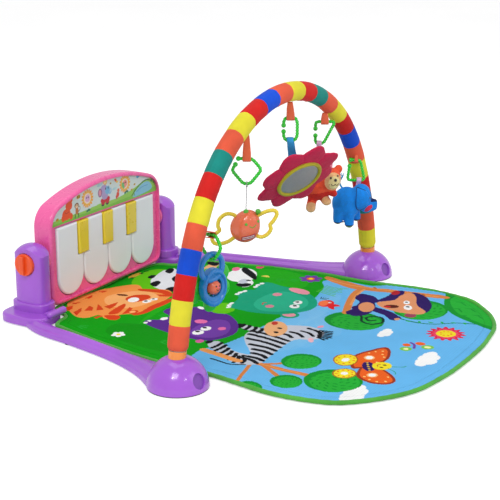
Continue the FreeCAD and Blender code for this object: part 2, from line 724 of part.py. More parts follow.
shape_node("hanging_loops", Part.makeCompound([hanging_loop(*entry) for entry in LOOPS]))
for label, hinge, across, path in LINKS:
    shape_node(label, rod([offset(hinge, a, up, side=across) for a, up in path],
                          size("link_rod"), 6.0, size("link_bead")))

# ================================================================ bug
BUG_CENTRE = Vector(-131, 1, 216)
# Wing rods as (across, up) from the bug's centre
BUG_WINGS = [
    [(-10, 6), (-22, 18), (-38, 16), (-46, 2), (-44, -8), (-57, -20), (-50, -31), (-30, -27),
     (-12, -8)],
    [(11, 6), (24, 20), (42, 25), (49, 16), (39, 2), (38, -12), (28, -22), (12, -10)],
]


def bug_body():
    """An ellipsoid leaning sideways."""
    long_axis = unit(ACROSS * 0.42 + UP * 0.907)
    wide_axis = ACROSS * 0.907 - UP * 0.42
    wide_axis = unit(wide_axis - long_axis * wide_axis.dot(long_axis))
    deep_axis = wide_axis.cross(long_axis)
    a = long_axis * size("bug_long")
    b = deep_axis * size("bug_deep")
    c = wide_axis * size("bug_wide")
    stretch = FreeCAD.Matrix(a.x, b.x, c.x, BUG_CENTRE.x,
                             a.y, b.y, c.y, BUG_CENTRE.y,
                             a.z, b.z, c.z, BUG_CENTRE.z, 0, 0, 0, 1)
    return Part.makeSphere(1.0).transformGeometry(stretch)


def bug_cord():
    """A small ring on the link's lower bar and a cord down to the body."""
    low = BUG_CENTRE.z + 24
    cord = Part.makeCylinder(0.7, BUG_BAR.z - 3.8 - low, Vector(BUG_BAR.x, BUG_BAR.y, low), UP)
    return Part.makeTorus(4.0, 0.6, BUG_BAR, ACROSS).fuse(cord)


shape_node("bug_body", bug_body())
shape_node("bug_wings", Part.makeCompound([
    rod([offset(BUG_CENTRE, a, up) for a, up in wing], 2.9, 8.0) for wing in BUG_WINGS]))
shape_node("bug_feelers", Part.makeCompound([
    Part.makeSphere(4.6, offset(BUG_CENTRE, a, up)) for a, up in ((1.5, 27), (18, 26))]))
shape_node("bug_cord", bug_cord())


# ================================================================ flower
def flower():
    """A tilted scalloped disc with a rimmed mirror on its face, hung on a strap."""
    centre = Vector(52, 0, 260)
    normal = unit(Vector(-0.299, -0.7185, -0.626))
    second = unit(normal.cross(Vector(0.569, -0.662, 0.489)))
    first = second.cross(normal)
    thick = size("flower_thick")
    points = []
    for i in range(48):
        t = 2 * math.pi * i / 48
        radius = size("flower_radius") + size("flower_scallop") * math.cos(8 * t)
        points.append(centre + first * (radius * math.cos(t)) + second * (radius * math.sin(t))
                      - normal * thick)
    petals = Part.Face(Part.Wire([closed_spline(points)])).extrude(normal * thick)
    shape_node("flower_petals", petals)

    face = along(normal, centre + normal * GAP)
    node(primitive("Cylinder", "mirror_disc", face, Radius="Sizes.mirror_radius", Height=2.0),
         "flower_mirror")
    outer = primitive("Cylinder", "mirror_rim_outer", face,
                      Radius="Sizes.mirror_rim", Height=3.2)
    inner = primitive("Cylinder", "mirror_rim_inner", face,
                      Radius="Sizes.mirror_radius + 0.1", Height=3.2)
    node(boolean("Cut", "mirror_rim_ring", outer, inner), "mirror_rim")
    strap_low = centre + second * 24 - normal * (thick + 1.5)
    shape_node("flower_strap", ribbon(FLOWER_BAR, 13.0, strap_low))


flower()

# ================================================================ bear and elephant
# Places are (across, up, facing) from the toy's centre
BEAR_CENTRE = Vector(147, 13, 224)
BEAR_TRUNK = (21.5, (-2, -8, 0), (0, 4, 0))             # radius, start, end
BEAR_BALLS = [(21.0, (20, 14, 6)), (7.5, (34, 31, 2)), (7.5, (8, 34, 2))]   # head, ears
BEAR_LIMBS = [                                          # radius, start, end
    (8.5, (-12, -18, 5), (-15, -33, 7)), (8.0, (7, -18, 3), (9, -31, 4)),
    (7.0, (-10, 4, 0), (-25, 0, 0)), (7.0, (12, -4, 0), (30, -10, 0)),
]
ELEPHANT_CENTRE = Vector(249, -12, 167)
ELEPHANT_BALLS = [(26.5, (-11, 4, 0)), (21.5, (18, 13, 2)), (8.5, (39.3, 1.1, 1.3))]
ELEPHANT_LEGS = [                                       # radius, height, lower end
    (8.2, 30.0, (-25, -38, 7)), (8.3, 32.0, (-3.1, -41, 8.2)),
    (8.0, 30.0, (-20, -35, -9)), (8.1, 32.0, (5.2, -37, -8.4)),
]


def balls(centre, table):
    return [Part.makeSphere(radius, offset(centre, *place)) for radius, place in table]


def bear_limb(radius, start, end):
    return capsule(offset(BEAR_CENTRE, *start), offset(BEAR_CENTRE, *end), radius)


def bear():
    limbs = [bear_limb(*limb) for limb in BEAR_LIMBS]
    return bear_limb(*BEAR_TRUNK).fuse(balls(BEAR_CENTRE, BEAR_BALLS) + limbs)


def elephant():
    legs = [Part.makeCylinder(radius, height, offset(ELEPHANT_CENTRE, *place), UP)
            for radius, height, place in ELEPHANT_LEGS]
    body, head, nose = balls(ELEPHANT_CENTRE, ELEPHANT_BALLS)
    return body.fuse([head, nose] + legs)


shape_node("bear_plush", bear())
shape_node("bear_ribbon",
           ribbon(BEAR_BAR, 7.0, Vector(BEAR_BAR.x, BEAR_BAR.y, BEAR_CENTRE.z + 22), 4.4))
shape_node("elephant_plush", elephant())
shape_node("elephant_ribbon",
           ribbon(ELEPHANT_BAR, 9.0,
                  Vector(ELEPHANT_BAR.x, ELEPHANT_BAR.y, ELEPHANT_CENTRE.z + 31)))

# ================================================================ rattle
RATTLE_CENTRE = Vector(-236, 0, 137)
RATTLE_ACROSS = Vector(0.954, -0.30, 0)
RATTLE_FACING = Vector(-0.30, -0.954, 0)
PETAL_ANGLES = (152, 28, 278, 200, 340)     # degrees from RATTLE_ACROSS towards +Z


def rattle_disc(radius, thick, start):
    """A disc on the rattle's axis, its rear face at start along RATTLE_FACING."""
    return Part.makeCylinder(radius, thick, RATTLE_CENTRE + RATTLE_FACING * start,
                             RATTLE_FACING)


def rattle_pin(radius, long):
    return Part.makeCylinder(radius, long, RATTLE_CENTRE - UP * (long / 2), UP)


def rattle_frame():
    """An oval handle over a holed disc, with an upright pin across the hole."""
    handle_top = RATTLE_BAR.z + size("link_rod") + 5.6
    centre = Vector(RATTLE_BAR.x, 0, handle_top - 22)
    path = []
    for i in range(16):
        t = 2 * math.pi * i / 16
        path.append(centre + RATTLE_ACROSS * (22.5 * math.sin(t)) + UP * (22 * math.cos(t)))
    curve = closed_spline(path)
    ring = Part.makeCircle(5.0, path[0], curve.tangentAt(curve.FirstParameter))
    handle = Part.Wire([curve]).makePipeShell([Part.Wire([ring])], True, True)
    disc = rattle_disc(33, 16, -8)
    frame = handle.fuse(disc).cut(rattle_disc(size("ball_radius") + 3.5, 20, -10))
    return frame.fuse(rattle_pin(1.5, 50).common(disc))


def rattle_petals():
    """Five round petals on a hub behind the frame, bored through the middle."""
    petals = []
    for degrees in PETAL_ANGLES:
        angle = math.radians(degrees)
        outward = RATTLE_ACROSS * math.cos(angle) + UP * math.sin(angle)
        petals.append(Part.makeCylinder(
            15.0, 6.0, RATTLE_CENTRE - RATTLE_FACING * 16 + outward * 33, RATTLE_FACING))
    return rattle_disc(29, 7.9, -16).fuse(petals).cut(rattle_disc(11.0, 10.0, -17))


shape_node("rattle_frame", rattle_frame())
shape_node("rattle_ball", Part.makeSphere(size("ball_radius"), RATTLE_CENTRE)
           .cut(rattle_pin(1.58, 60)))
shape_node("rattle_petals", rattle_petals())

# ================================================================ piano case
PANEL_HALF = size("panel_half")
FRONT_DEPTH, REAR_DEPTH = size("front_depth"), size("rear_depth")
BEZEL = size("bezel_wide")
KEY_PITCH, KEY_LOW, KEY_TOP = size("key_pitch"), size("key_low"), size("key_top")
KEY_HALF = size("key_wide") / 2
KEY_ROUND_Z = KEY_LOW + KEY_HALF        # centre of the keys' round lower ends
KEY_XS = [(-1.5 + i) * KEY_PITCH for i in range(4)]
KEY_GAP = 1.6                           # round the keys in their window
SPEAKER_X, SPEAKER_Z = -70, 140


def polar(centre, radius, angle):
    return (centre[0] + radius * math.cos(angle), centre[1] + radius * math.sin(angle))


def flip(point):
    return (-point[0], point[1])


def panel_top(inset):
    """The right shoulder's centre and radius, the angle and point where it meets the
    top arc, and the crown of that arc."""
    arc, shoulder = size("panel_arc") - inset, size("panel_shoulder") - inset
    arc_centre = (0.0, size("panel_arc_z"))
    centre_x = PANEL_HALF - inset - shoulder
    rise = math.sqrt((arc - shoulder) ** 2 - centre_x ** 2)
    angle = math.atan2(rise, centre_x)
    centre = (centre_x, arc_centre[1] + rise)
    return centre, shoulder, angle, polar(arc_centre, arc, angle), (0.0, arc_centre[1] + arc)


def panel_outline(inset):
    """The case outline with its arched top, moved inwards by inset."""
    centre, shoulder, angle, meet, crown = panel_top(inset)
    middle = polar(centre, shoulder, angle / 2)
    right, low = PANEL_HALF - inset, size("panel_low") + inset
    corner = size("panel_corner") - inset
    corner_middle = polar((right - corner, low + corner), corner, -math.pi / 4)
    low_end, side_low, side_top = (right - corner, low), (right, low + corner), (right, centre[1])
    return [(flip(low_end), low_end),
            (low_end, corner_middle, side_low),
            (side_low, side_top),
            (side_top, middle, meet),
            (meet, crown, flip(meet)),
            (flip(meet), flip(middle), flip(side_top)),
            (flip(side_top), flip(side_low)),
            (flip(side_low), flip(corner_middle), flip(low_end))]


def bore_pivots(body, prefix):
    """Drill inwards for the clamp bolts from outside each end of the case."""
    for name, side in SIDES:
        name = prefix + name + "_bore"
        sketch = sketch_on(body, "YZ_Plane", name + "_sketch", side * (PANEL_HALF + 20))
        draw_pivot_circle(sketch, "bolt_bore")
        pocket(body, sketch, "40", name, reverse=side < 0)


def key_window():
    """One opening round all four white keys, scalloped along its lower edge."""
    radius = KEY_HALF + KEY_GAP
    cusp = KEY_ROUND_Z - math.sqrt(radius ** 2 - (KEY_PITCH / 2) ** 2)
    left, right, top = KEY_XS[0] - radius, KEY_XS[3] + radius, KEY_TOP + KEY_GAP
    segments = chain((right, KEY_ROUND_Z), (right, top), (left, top), (left, KEY_ROUND_Z))
    for i, x in enumerate(KEY_XS):
        start = (left, KEY_ROUND_Z) if i == 0 else (x - KEY_PITCH / 2, cusp)
        end = (right, KEY_ROUND_Z) if i == 3 else (x + KEY_PITCH / 2, cusp)
        segments.append((start, (x, KEY_ROUND_Z - radius), end))
    return segments


def front_shell():
    """Hollow front half with a recessed face, key window and pivot bosses."""
    body = new_body("piano_front_shell", 0, POST_Y)
    sketch = sketch_on(body, "XZ_Plane", "front_outline")
    draw(sketch, panel_outline(0))
    block = pad(body, sketch, "Sizes.front_depth", "front_block")
    round_face(body, block, "Sizes.edge_round", -FRONT_DEPTH, "front_rounding")
    sketch = sketch_on(body, "XZ_Plane", "face_recess", "Sizes.front_depth")
    draw(sketch, panel_outline(BEZEL))
    pocket(body, sketch, "Sizes.recess_deep", "face_pocket")
    sketch = sketch_on(body, "XZ_Plane", "back_hollow")
    draw(sketch, panel_outline(size("case_wall")))
    pocket(body, sketch, "Sizes.front_depth - Sizes.recess_deep - Sizes.case_wall",
           "hollow_pocket", reverse=True)
    sketch = sketch_on(body, "XZ_Plane", "key_window", "Sizes.front_depth")
    draw(sketch, key_window())
    pocket(body, sketch, None, "key_window_cut")
    for name, side in SIDES:
        name += "_boss"
        sketch = sketch_on(body, "YZ_Plane", name + "_sketch", side * PANEL_HALF)
        draw_pivot_circle(sketch, "boss_radius")
        pad(body, sketch, "Sizes.boss_long", name, reverse=side < 0)
    bore_pivots(body, "")


def rear_shell():
    """Hollow rear half with a speaker grille, battery opening and switch slot."""
    body = new_body("piano_rear_shell", 0, POST_Y + GAP)
    sketch = sketch_on(body, "XZ_Plane", "rear_outline")
    draw(sketch, panel_outline(0))
    block = pad(body, sketch, "Sizes.rear_depth", "rear_block", reverse=True)
    round_face(body, block, "Sizes.edge_round", REAR_DEPTH, "rear_rounding")
    sketch = sketch_on(body, "XZ_Plane", "rear_hollow")
    draw(sketch, panel_outline(size("case_wall")))
    pocket(body, sketch, "Sizes.rear_depth - 2.5", "rear_pocket")
    sketch = sketch_on(body, "XZ_Plane", "rear_openings")
    for i in range(-3, 4):      # grille slots filling a circle of radius 20
        rise = 6.0 * i
        half = math.sqrt(20.0 ** 2 - rise ** 2)
        z = SPEAKER_Z + rise
        draw_rect(sketch, SPEAKER_X - half, z - 1.2, SPEAKER_X + half, z + 1.2)
    draw_rect(sketch, 16, 116, 76, 162)         # battery opening
    draw_rect(sketch, -8, 192, 12, 198.4)       # switch slot
    pocket(body, sketch, None, "rear_cuts")
    bore_pivots(body, "rear_")


def label_plate():
    """A thin plate in the arched top of the face recess."""
    body = new_body("label_plate", 0, POST_Y - FRONT_DEPTH + size("recess_deep") - GAP)
    sketch = sketch_on(body, "XZ_Plane", "label_outline")
    centre, shoulder, angle, meet, crown = panel_top(BEZEL + 1.0)
    # the plate's lower edge cuts the shoulder arcs at this angle
    low_angle = math.asin((size("label_low") - centre[1]) / shoulder)
    low = (centre[0] + shoulder * math.cos(low_angle), size("label_low"))
    middle = polar(centre, shoulder, (low_angle + angle) / 2)
    draw(sketch, [(flip(low), low), (low, middle, meet), (meet, crown, flip(meet)),
                  (flip(meet), flip(middle), flip(low))])
    pad(body, sketch, "Sizes.label_thick", "label_pad")


front_shell()
rear_shell()
label_plate()

# ================================================================ keys
SHORT_HALF, SHORT_LOW = size("short_wide") / 2, size("short_low")


def key_body(name, x, segments, prefix, edge_radius):
    """A key padded forwards from its back plane, its front edges rounded."""
    body = new_body(name, x, size("key_back"))
    sketch = sketch_on(body, "XZ_Plane", name + "_outline")
    draw(sketch, segments)
    block = pad(body, sketch, "Sizes." + prefix + "_thick", name + "_pad")
    round_face(body, block, edge_radius, -size(prefix + "_thick"), name + "_round")


def white_key_outline(notch_left, notch_right):
    """Round-ended key, narrowed beside each short key it adjoins."""
    narrow = KEY_PITCH / 2 - SHORT_HALF - 1.0
    notch_z = SHORT_LOW - 2
    left = -narrow if notch_left else -KEY_HALF
    right = narrow if notch_right else KEY_HALF
    points = [(KEY_HALF, KEY_ROUND_Z)]
    if notch_right:
        points += [(KEY_HALF, notch_z), (right, notch_z)]
    points += [(right, KEY_TOP), (left, KEY_TOP)]
    if notch_left:
        points += [(left, notch_z), (-KEY_HALF, notch_z)]
    points.append((-KEY_HALF, KEY_ROUND_Z))
    return [(points[-1], (0, KEY_LOW), points[0])] + chain(*points)


for i, x in enumerate(KEY_XS):
    key_body("white_key_%d" % (i + 1), x, white_key_outline(i > 0, i < 3),
             "key", "Sizes.key_edge * 0.8")

short_low_left = (-SHORT_HALF + 1.5, SHORT_LOW)
short_outline = chain(short_low_left, (SHORT_HALF - 1.5, SHORT_LOW), (SHORT_HALF, KEY_TOP),
                      (-SHORT_HALF, KEY_TOP), short_low_left)
for i, x in enumerate((-KEY_PITCH, 0.0, KEY_PITCH)):
    key_body("yellow_key_%d" % (i + 1), x, short_outline, "short", "Sizes.short_edge")

# ================================================================ piano inside and rear face
SHEET_Y, BOARD_Y = 412.6, 414.3         # rear faces of contact sheet and circuit board
SPEAKER_Y, SPEAKER_DEEP = 418.0, 9.0    # front of the cone, and its depth
CELL_X, CELL_Y, CELL_Z = 21, 421.9, 124
CELL_PITCH = 15
CHIPS = [(-12, 70, 12, 88), (30, 60, 38, 80), (-46, 58, -38, 74)]   # x0, z0, x1, z1
# Screw heads on the rear face: x, z
CASE_SCREWS = [(-140, 40), (140, 40), (-140, 150), (140, 150), (-60, 210), (60, 210), (0, 60)]


def contact_sheet():
    body = new_body("contact_sheet", 0, SHEET_Y)
    sketch = sketch_on(body, "XZ_Plane", "contact_outline")
    half = size("sheet_wide") / 2
    draw_rect(sketch, -half, size("sheet_low"), half, size("sheet_high"),
              "Sizes.sheet_wide", "Sizes.sheet_high - Sizes.sheet_low")
    pad(body, sketch, "Sizes.sheet_thick", "contact_pad")


def circuit_board():
    """The board, with three chips on its rear."""
    body = new_body("circuit_board", 0, BOARD_Y)
    sketch = sketch_on(body, "XZ_Plane", "board_outline")
    half = size("board_wide") / 2
    draw_rect(sketch, -half, size("sheet_low") + 4, half, size("sheet_high") - 4,
              "Sizes.board_wide")
    pad(body, sketch, "Sizes.board_thick", "board_pad")
    sketch = sketch_on(body, "XZ_Plane", "chip_outline")
    for chip in CHIPS:
        draw_rect(sketch, *chip)
    pad(body, sketch, "3.5", "chips", reverse=True)


def speaker():
    """A cone widening to the rear, with a rim behind it."""
    rearward = (0, 1, 0)
    cone = primitive("Cone", "speaker_cone",
                     along(rearward, (SPEAKER_X, SPEAKER_Y, SPEAKER_Z)),
                     Radius1="Sizes.speaker_radius * 0.45", Radius2="Sizes.speaker_radius",
                     Height=SPEAKER_DEEP)
    rim = primitive("Cylinder", "speaker_rim",
                    along(rearward, (SPEAKER_X, SPEAKER_Y + SPEAKER_DEEP, SPEAKER_Z)),
                    Radius="Sizes.speaker_radius", Height=2.0)
    node(boolean("Fuse", "speaker_unit", cone, rim), "speaker")


def battery_cell(index):
    """A cell lying along X; alternate cells have their nub at opposite ends."""
    z = CELL_Z + CELL_PITCH * index
    nub_long = 1.4
    nub_x = CELL_X - 1 if index % 2 else CELL_X + size("cell_long") - nub_long
    can = primitive("Cylinder", "cell_%d" % index, along((1, 0, 0), (CELL_X, CELL_Y, z)),
                    Radius="Sizes.cell_radius", Height="Sizes.cell_long - 1.2")
    nub = primitive("Cylinder", "cell_nub_%d" % index, along((1, 0, 0), (nub_x, CELL_Y, z)),
                    Radius=2.7, Height=nub_long)
    return boolean("Fuse", "cell_full_%d" % index, can, nub)


def battery_door():
    body = new_body("battery_door", 0, POST_Y + REAR_DEPTH + 0.05)
    sketch = sketch_on(body, "XZ_Plane", "door_outline")
    left, low = 14, size("door_low")
    draw_rect(sketch, left, low, left + size("door_wide"), low + size("door_high"),
              "Sizes.door_wide", "Sizes.door_high")
    plate = pad(body, sketch, "Sizes.door_thick", "door_plate", reverse=True)
    round_face(body, plate, "1.2", size("door_thick"), "door_round")


def power_switch():
    body = new_body("power_switch", 0, POST_Y + REAR_DEPTH - 5.0)
    sketch = sketch_on(body, "XZ_Plane", "switch_outline")
    left, low = -7, 192.2
    draw_rect(sketch, left, low, left + size("switch_wide"), low + size("switch_high"),
              "Sizes.switch_wide", "Sizes.switch_high")
    pad(body, sketch, "8", "switch_pad", reverse=True)


contact_sheet()
circuit_board()
speaker()
compound_node("batteries", [battery_cell(i) for i in range(3)])
battery_door()
power_switch()
shape_node("case_screws", Part.makeCompound([
    Part.makeCylinder(3.6, 1.6, Vector(x, POST_Y + REAR_DEPTH + 0.03, z), Vector(0, 1, 0))
    for x, z in CASE_SCREWS]))

# ================================================================ check and write
doc.recompute()
failed = [obj.Name for obj in doc.Objects if "Invalid" in obj.State or "Error" in obj.State]
if failed:
    raise RuntimeError("failed objects: %s" % failed)
for label, obj in nodes:
    if obj.Shape.isNull() or not obj.Shape.isValid() or not obj.Shape.Solids:
        raise RuntimeError("bad shape: %s" % label)
os.makedirs("parts", exist_ok=True)
for label, obj in nodes:
    obj.Shape.exportStep("parts/%s.step" % label)
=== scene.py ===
"""A baby play gym: printed mat, piano at the +Y edge, and a cloth-sleeved hoop with toys.

The mat lies on Z = 0, longest along Y. The hoop stands across it in the plane Y = 0, feet at
-X and +X. The toys face -X -Y, where the camera is. Shapes are worked out in millimetres and
turned into metres (MM) when meshes are made; noise always takes points in metres.
"""
import bpy, bmesh, math
import numpy as np
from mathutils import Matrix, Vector
from mathutils.bvhtree import BVHTree


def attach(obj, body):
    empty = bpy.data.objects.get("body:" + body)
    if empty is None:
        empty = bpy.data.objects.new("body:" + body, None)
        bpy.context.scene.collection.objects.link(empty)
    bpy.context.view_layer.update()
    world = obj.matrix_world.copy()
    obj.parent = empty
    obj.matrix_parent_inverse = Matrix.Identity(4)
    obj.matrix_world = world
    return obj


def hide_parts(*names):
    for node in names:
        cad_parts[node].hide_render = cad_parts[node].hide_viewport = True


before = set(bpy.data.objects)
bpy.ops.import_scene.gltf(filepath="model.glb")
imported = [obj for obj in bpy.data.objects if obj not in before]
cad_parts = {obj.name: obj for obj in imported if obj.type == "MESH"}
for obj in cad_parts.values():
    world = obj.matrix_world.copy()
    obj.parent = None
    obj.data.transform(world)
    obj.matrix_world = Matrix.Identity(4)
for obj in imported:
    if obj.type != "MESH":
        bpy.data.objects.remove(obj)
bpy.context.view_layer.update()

MM = 0.001
MM_PER_M = 1000
FULL_TURN = 2 * np.pi


# ------------------------------------------------------------------ numbers
def srgb(r, g, b):
    """Linear colour from 0..255 sRGB values."""
    out = []
    for c in (r, g, b):
        c = c / 255.0
        out.append(c / 12.92 if c <= 0.04045 else ((c + 0.055) / 1.055) ** 2.4)
    return tuple(out)


def lattice_random(ix, iy, iz, seed):
    """Repeatable value in -1..1 for each whole-number lattice point."""
    n = (ix.astype(np.int64) * 374761393 + iy.astype(np.int64) * 668265263
         + iz.astype(np.int64) * 2147483647 + seed * 1442695041) & 0xFFFFFFFF
    n = ((n ^ (n >> 13)) * 1274126177) & 0xFFFFFFFF
    n = n ^ (n >> 16)
    return (n & 0xFFFF) / 32767.5 - 1.0


def value_noise(points, scale, seed=0):
    """Smooth noise in -1..1 at points (n, 3), one bump per 1/scale metres."""
    scaled_points = np.asarray(points, float) * scale
    cell = np.floor(scaled_points).astype(np.int64)
    part = scaled_points - cell
    part = part * part * (3 - 2 * part)
    out = 0
    for dx in (0, 1):
        for dy in (0, 1):
            for dz in (0, 1):
                weight = ((part[:, 0] if dx else 1 - part[:, 0])
                          * (part[:, 1] if dy else 1 - part[:, 1])
                          * (part[:, 2] if dz else 1 - part[:, 2]))
                corner = lattice_random(cell[:, 0] + dx, cell[:, 1] + dy, cell[:, 2] + dz, seed)
                out = out + weight * corner
    return out


def layered_noise(points, scale, seed=0, octaves=3):
    out, amp = 0, 1.0
    for k in range(octaves):
        out = out + amp * value_noise(points, scale * 2 ** k, seed + 17 * k)
        amp *= 0.5
    return out


# ------------------------------------------------------------------ material makers
MAT = {}  # every material by its name


def scaled(color, factor, lift=0.0):
    return tuple(min(1, c * factor + lift) for c in color)


class Shader:
    """A new node material ending in one Principled BSDF."""

    def __init__(self, name):
        self.material = bpy.data.materials.new(name)
        MAT[name] = self.material
        self.material.use_nodes = True
        self.tree = self.material.node_tree
        self.tree.nodes.clear()
        output = self.node("OutputMaterial")
        self.bsdf = self.node("BsdfPrincipled")
        self.tree.links.new(self.bsdf.outputs[0], output.inputs[0])

    def node(self, kind, inputs=None, **settings):
        made = self.tree.nodes.new("ShaderNode" + kind)
        for key, value in settings.items():
            setattr(made, key, value)
        self.feed(made, inputs or {})
        return made

    def feed(self, node, inputs):
        """Link sockets and set plain values on a node's inputs."""
        for key, value in inputs.items():
            if isinstance(value, bpy.types.NodeSocket):
                self.tree.links.new(value, node.inputs[key])
            else:
                node.inputs[key].default_value = value

    def surface(self, inputs):
        self.feed(self.bsdf, inputs)

    def noise(self, scale, detail=3.0, rough=0.55):
        coords_out = self.node("TexCoord").outputs["Object"]
        return self.node("TexNoise", {"Vector": coords_out, "Scale": scale, "Detail": detail,
                                      "Roughness": rough}).outputs[0]

    def remap(self, source, low, high, start=0.3, end=0.7):
        """Map start..end of the source to low..high."""
        return self.node("MapRange", {"Value": source, "From Min": start, "From Max": end,
                                      "To Min": low, "To Max": high}).outputs[0]

    def mix(self, factor, first, second):
        first, second = ((*c, 1) if isinstance(c, tuple) else c for c in (first, second))
        return self.node("Mix", {0: factor, 6: first, 7: second}, data_type="RGBA").outputs[2]

    def math(self, operation, first, second):
        return self.node("Math", {0: first, 1: second}, operation=operation).outputs[0]

    def brighten(self, color, value):
        return self.node("HueSaturation", {"Color": color, "Value": value}).outputs[0]

    def bump(self, height, strength, distance):
        made = self.node("Bump", {"Height": height, "Strength": strength, "Distance": distance})
        self.surface({"Normal": made.outputs[0]})


def plastic(name, color, rough=0.2, coat=0.5, vary=0.06, peel=0.05, subsurface=0.0, wear=0.25):
    """Moulded plastic: drifting colour, uneven gloss, fine ripple, paler edges."""
    shader = Shader(name)
    drift = shader.noise(scale=9.0, detail=2.0)
    ripple = shader.noise(scale=240.0, detail=3.0, rough=0.6)
    base = shader.mix(shader.remap(drift, 0, 1), scaled(color, 1 - vary * 2),
                      scaled(color, 1 + vary, vary * 0.04))
    pointiness = shader.node("NewGeometry").outputs["Pointiness"]
    edge = shader.remap(pointiness, 0, wear, start=0.52, end=0.60)
    base = shader.mix(edge, base, scaled(color, 1.1, 0.06))
    smudge = shader.noise(scale=45.0, detail=4.0, rough=0.65)
    shader.surface({"Base Color": base,
                    "Roughness": shader.remap(smudge, rough * 0.8, rough * 1.35),
                    "Coat Weight": coat, "Coat Roughness": 0.08, "IOR": 1.5})
    shader.bump(ripple, strength=peel, distance=0.0006)
    if subsurface:
        shader.surface({"Subsurface Weight": subsurface, "Subsurface Scale": 0.6,
                        "Subsurface Radius": (0.01, 0.006, 0.004)})


def fabric(name, color=None, thread=900.0, strength=0.35, rough=0.82, sheen=0.35, vary=0.1,
           attribute=None, uv=False, fuzz=0.25, specular=0.3):
    """Woven cloth: two crossed thread waves, slub noise and a soft sheen.

    The colour is either given or read from a colour attribute of the mesh.
    """
    shader = Shader(name)
    vector = shader.node("TexCoord").outputs["UV" if uv else "Object"]
    waves = [shader.node("TexWave", {"Vector": vector, "Scale": thread / 20.0, "Distortion": 0.6,
                                     "Detail": 1.0, "Detail Scale": 1.5},
                         wave_type="BANDS", bands_direction=axis).outputs[1]
             for axis in ("X", "Y")]
    crossed = shader.math("MAXIMUM", waves[0], waves[1])
    slub = shader.noise(scale=160.0, detail=4.0, rough=0.7)
    drift = shader.noise(scale=14.0, detail=3.0)
    weave = shader.math("ADD", crossed, shader.math("MULTIPLY", slub, 1.2))
    shader.bump(weave, strength=strength, distance=0.0005)
    if attribute:
        source = shader.node("Attribute", attribute_name=attribute).outputs["Color"]
        base = shader.brighten(source, shader.remap(drift, 1 - vary, 1 + vary * 0.6))
        base = shader.brighten(base, shader.remap(weave, 0.90, 1.03, start=0.3, end=1.5))
    else:
        base = shader.mix(shader.remap(drift, 0, 1), scaled(color, 1 - vary * 2),
                          scaled(color, 1 + vary))
        base = shader.mix(shader.remap(weave, fuzz, 0, start=0.3, end=1.4), base,
                          scaled(color, 0.62))
    shader.surface({"Base Color": base,
                    "Roughness": shader.remap(slub, rough * 0.9, min(1, rough * 1.1)),
                    "Sheen Weight": sheen * 0.4, "Sheen Roughness": 0.45,
                    "Specular IOR Level": specular})


def plush(name, color, sheen=0.6, scale=520.0, vary=0.14):
    """Short-pile plush: clumped fibre noise in height and colour, strong soft sheen."""
    shader = Shader(name)
    clump = shader.noise(scale=70.0, detail=4.0, rough=0.65)
    fibre = shader.noise(scale=scale, detail=5.0, rough=0.75)
    pile = shader.math("ADD", clump, fibre)
    shader.bump(pile, strength=0.55, distance=0.0009)
    base = shader.mix(shader.remap(pile, 0, 1, start=0.7, end=1.3),
                      scaled(color, 1 - vary * 2.2), scaled(color, 1 + vary))
    shader.surface({"Base Color": base, "Roughness": shader.remap(fibre, 0.8, 1.0),
                    "Sheen Weight": sheen, "Sheen Roughness": 0.35})


def metal(name, color, rough):
    shader = Shader(name)
    grain = shader.noise(scale=300.0, detail=4.0)
    shader.surface({"Roughness": shader.remap(grain, rough * 0.7, rough * 1.4),
                    "Base Color": shader.mix(shader.remap(grain, 0, 1), scaled(color, 0.8), color),
                    "Metallic": 1.0})


def checked_cloth(name, first, second, scale):
    shader = Shader(name)
    vector = shader.node("TexCoord").outputs["Object"]
    check = shader.node("TexChecker", {"Vector": vector, "Scale": scale, "Color1": (*first, 1),
                                       "Color2": (*second, 1)}).outputs[0]
    grain = shader.noise(scale=900.0, detail=3.0)
    shader.bump(grain, strength=0.3, distance=0.0004)
    base = shader.mix(shader.remap(grain, 0, 0.35), check, scaled(first, 0.8))
    shader.surface({"Base Color": base, "Roughness": 0.85, "Sheen Weight": 0.3})


def printed_film(name):
    """Glossy film printed with the Print attribute: fine grain, uneven sheen."""
    shader = Shader(name)
    source = shader.node("Attribute", attribute_name="Print").outputs["Color"]
    grain = shader.noise(scale=900.0, detail=2.0)
    sheen = shader.noise(scale=30.0, detail=3.0)
    shader.surface({"Base Color": shader.brighten(source, shader.remap(grain, 0.95, 1.04)),
                    "Roughness": shader.remap(sheen, 0.30, 0.48)})
    shader.bump(sheen, strength=0.04, distance=0.0004)


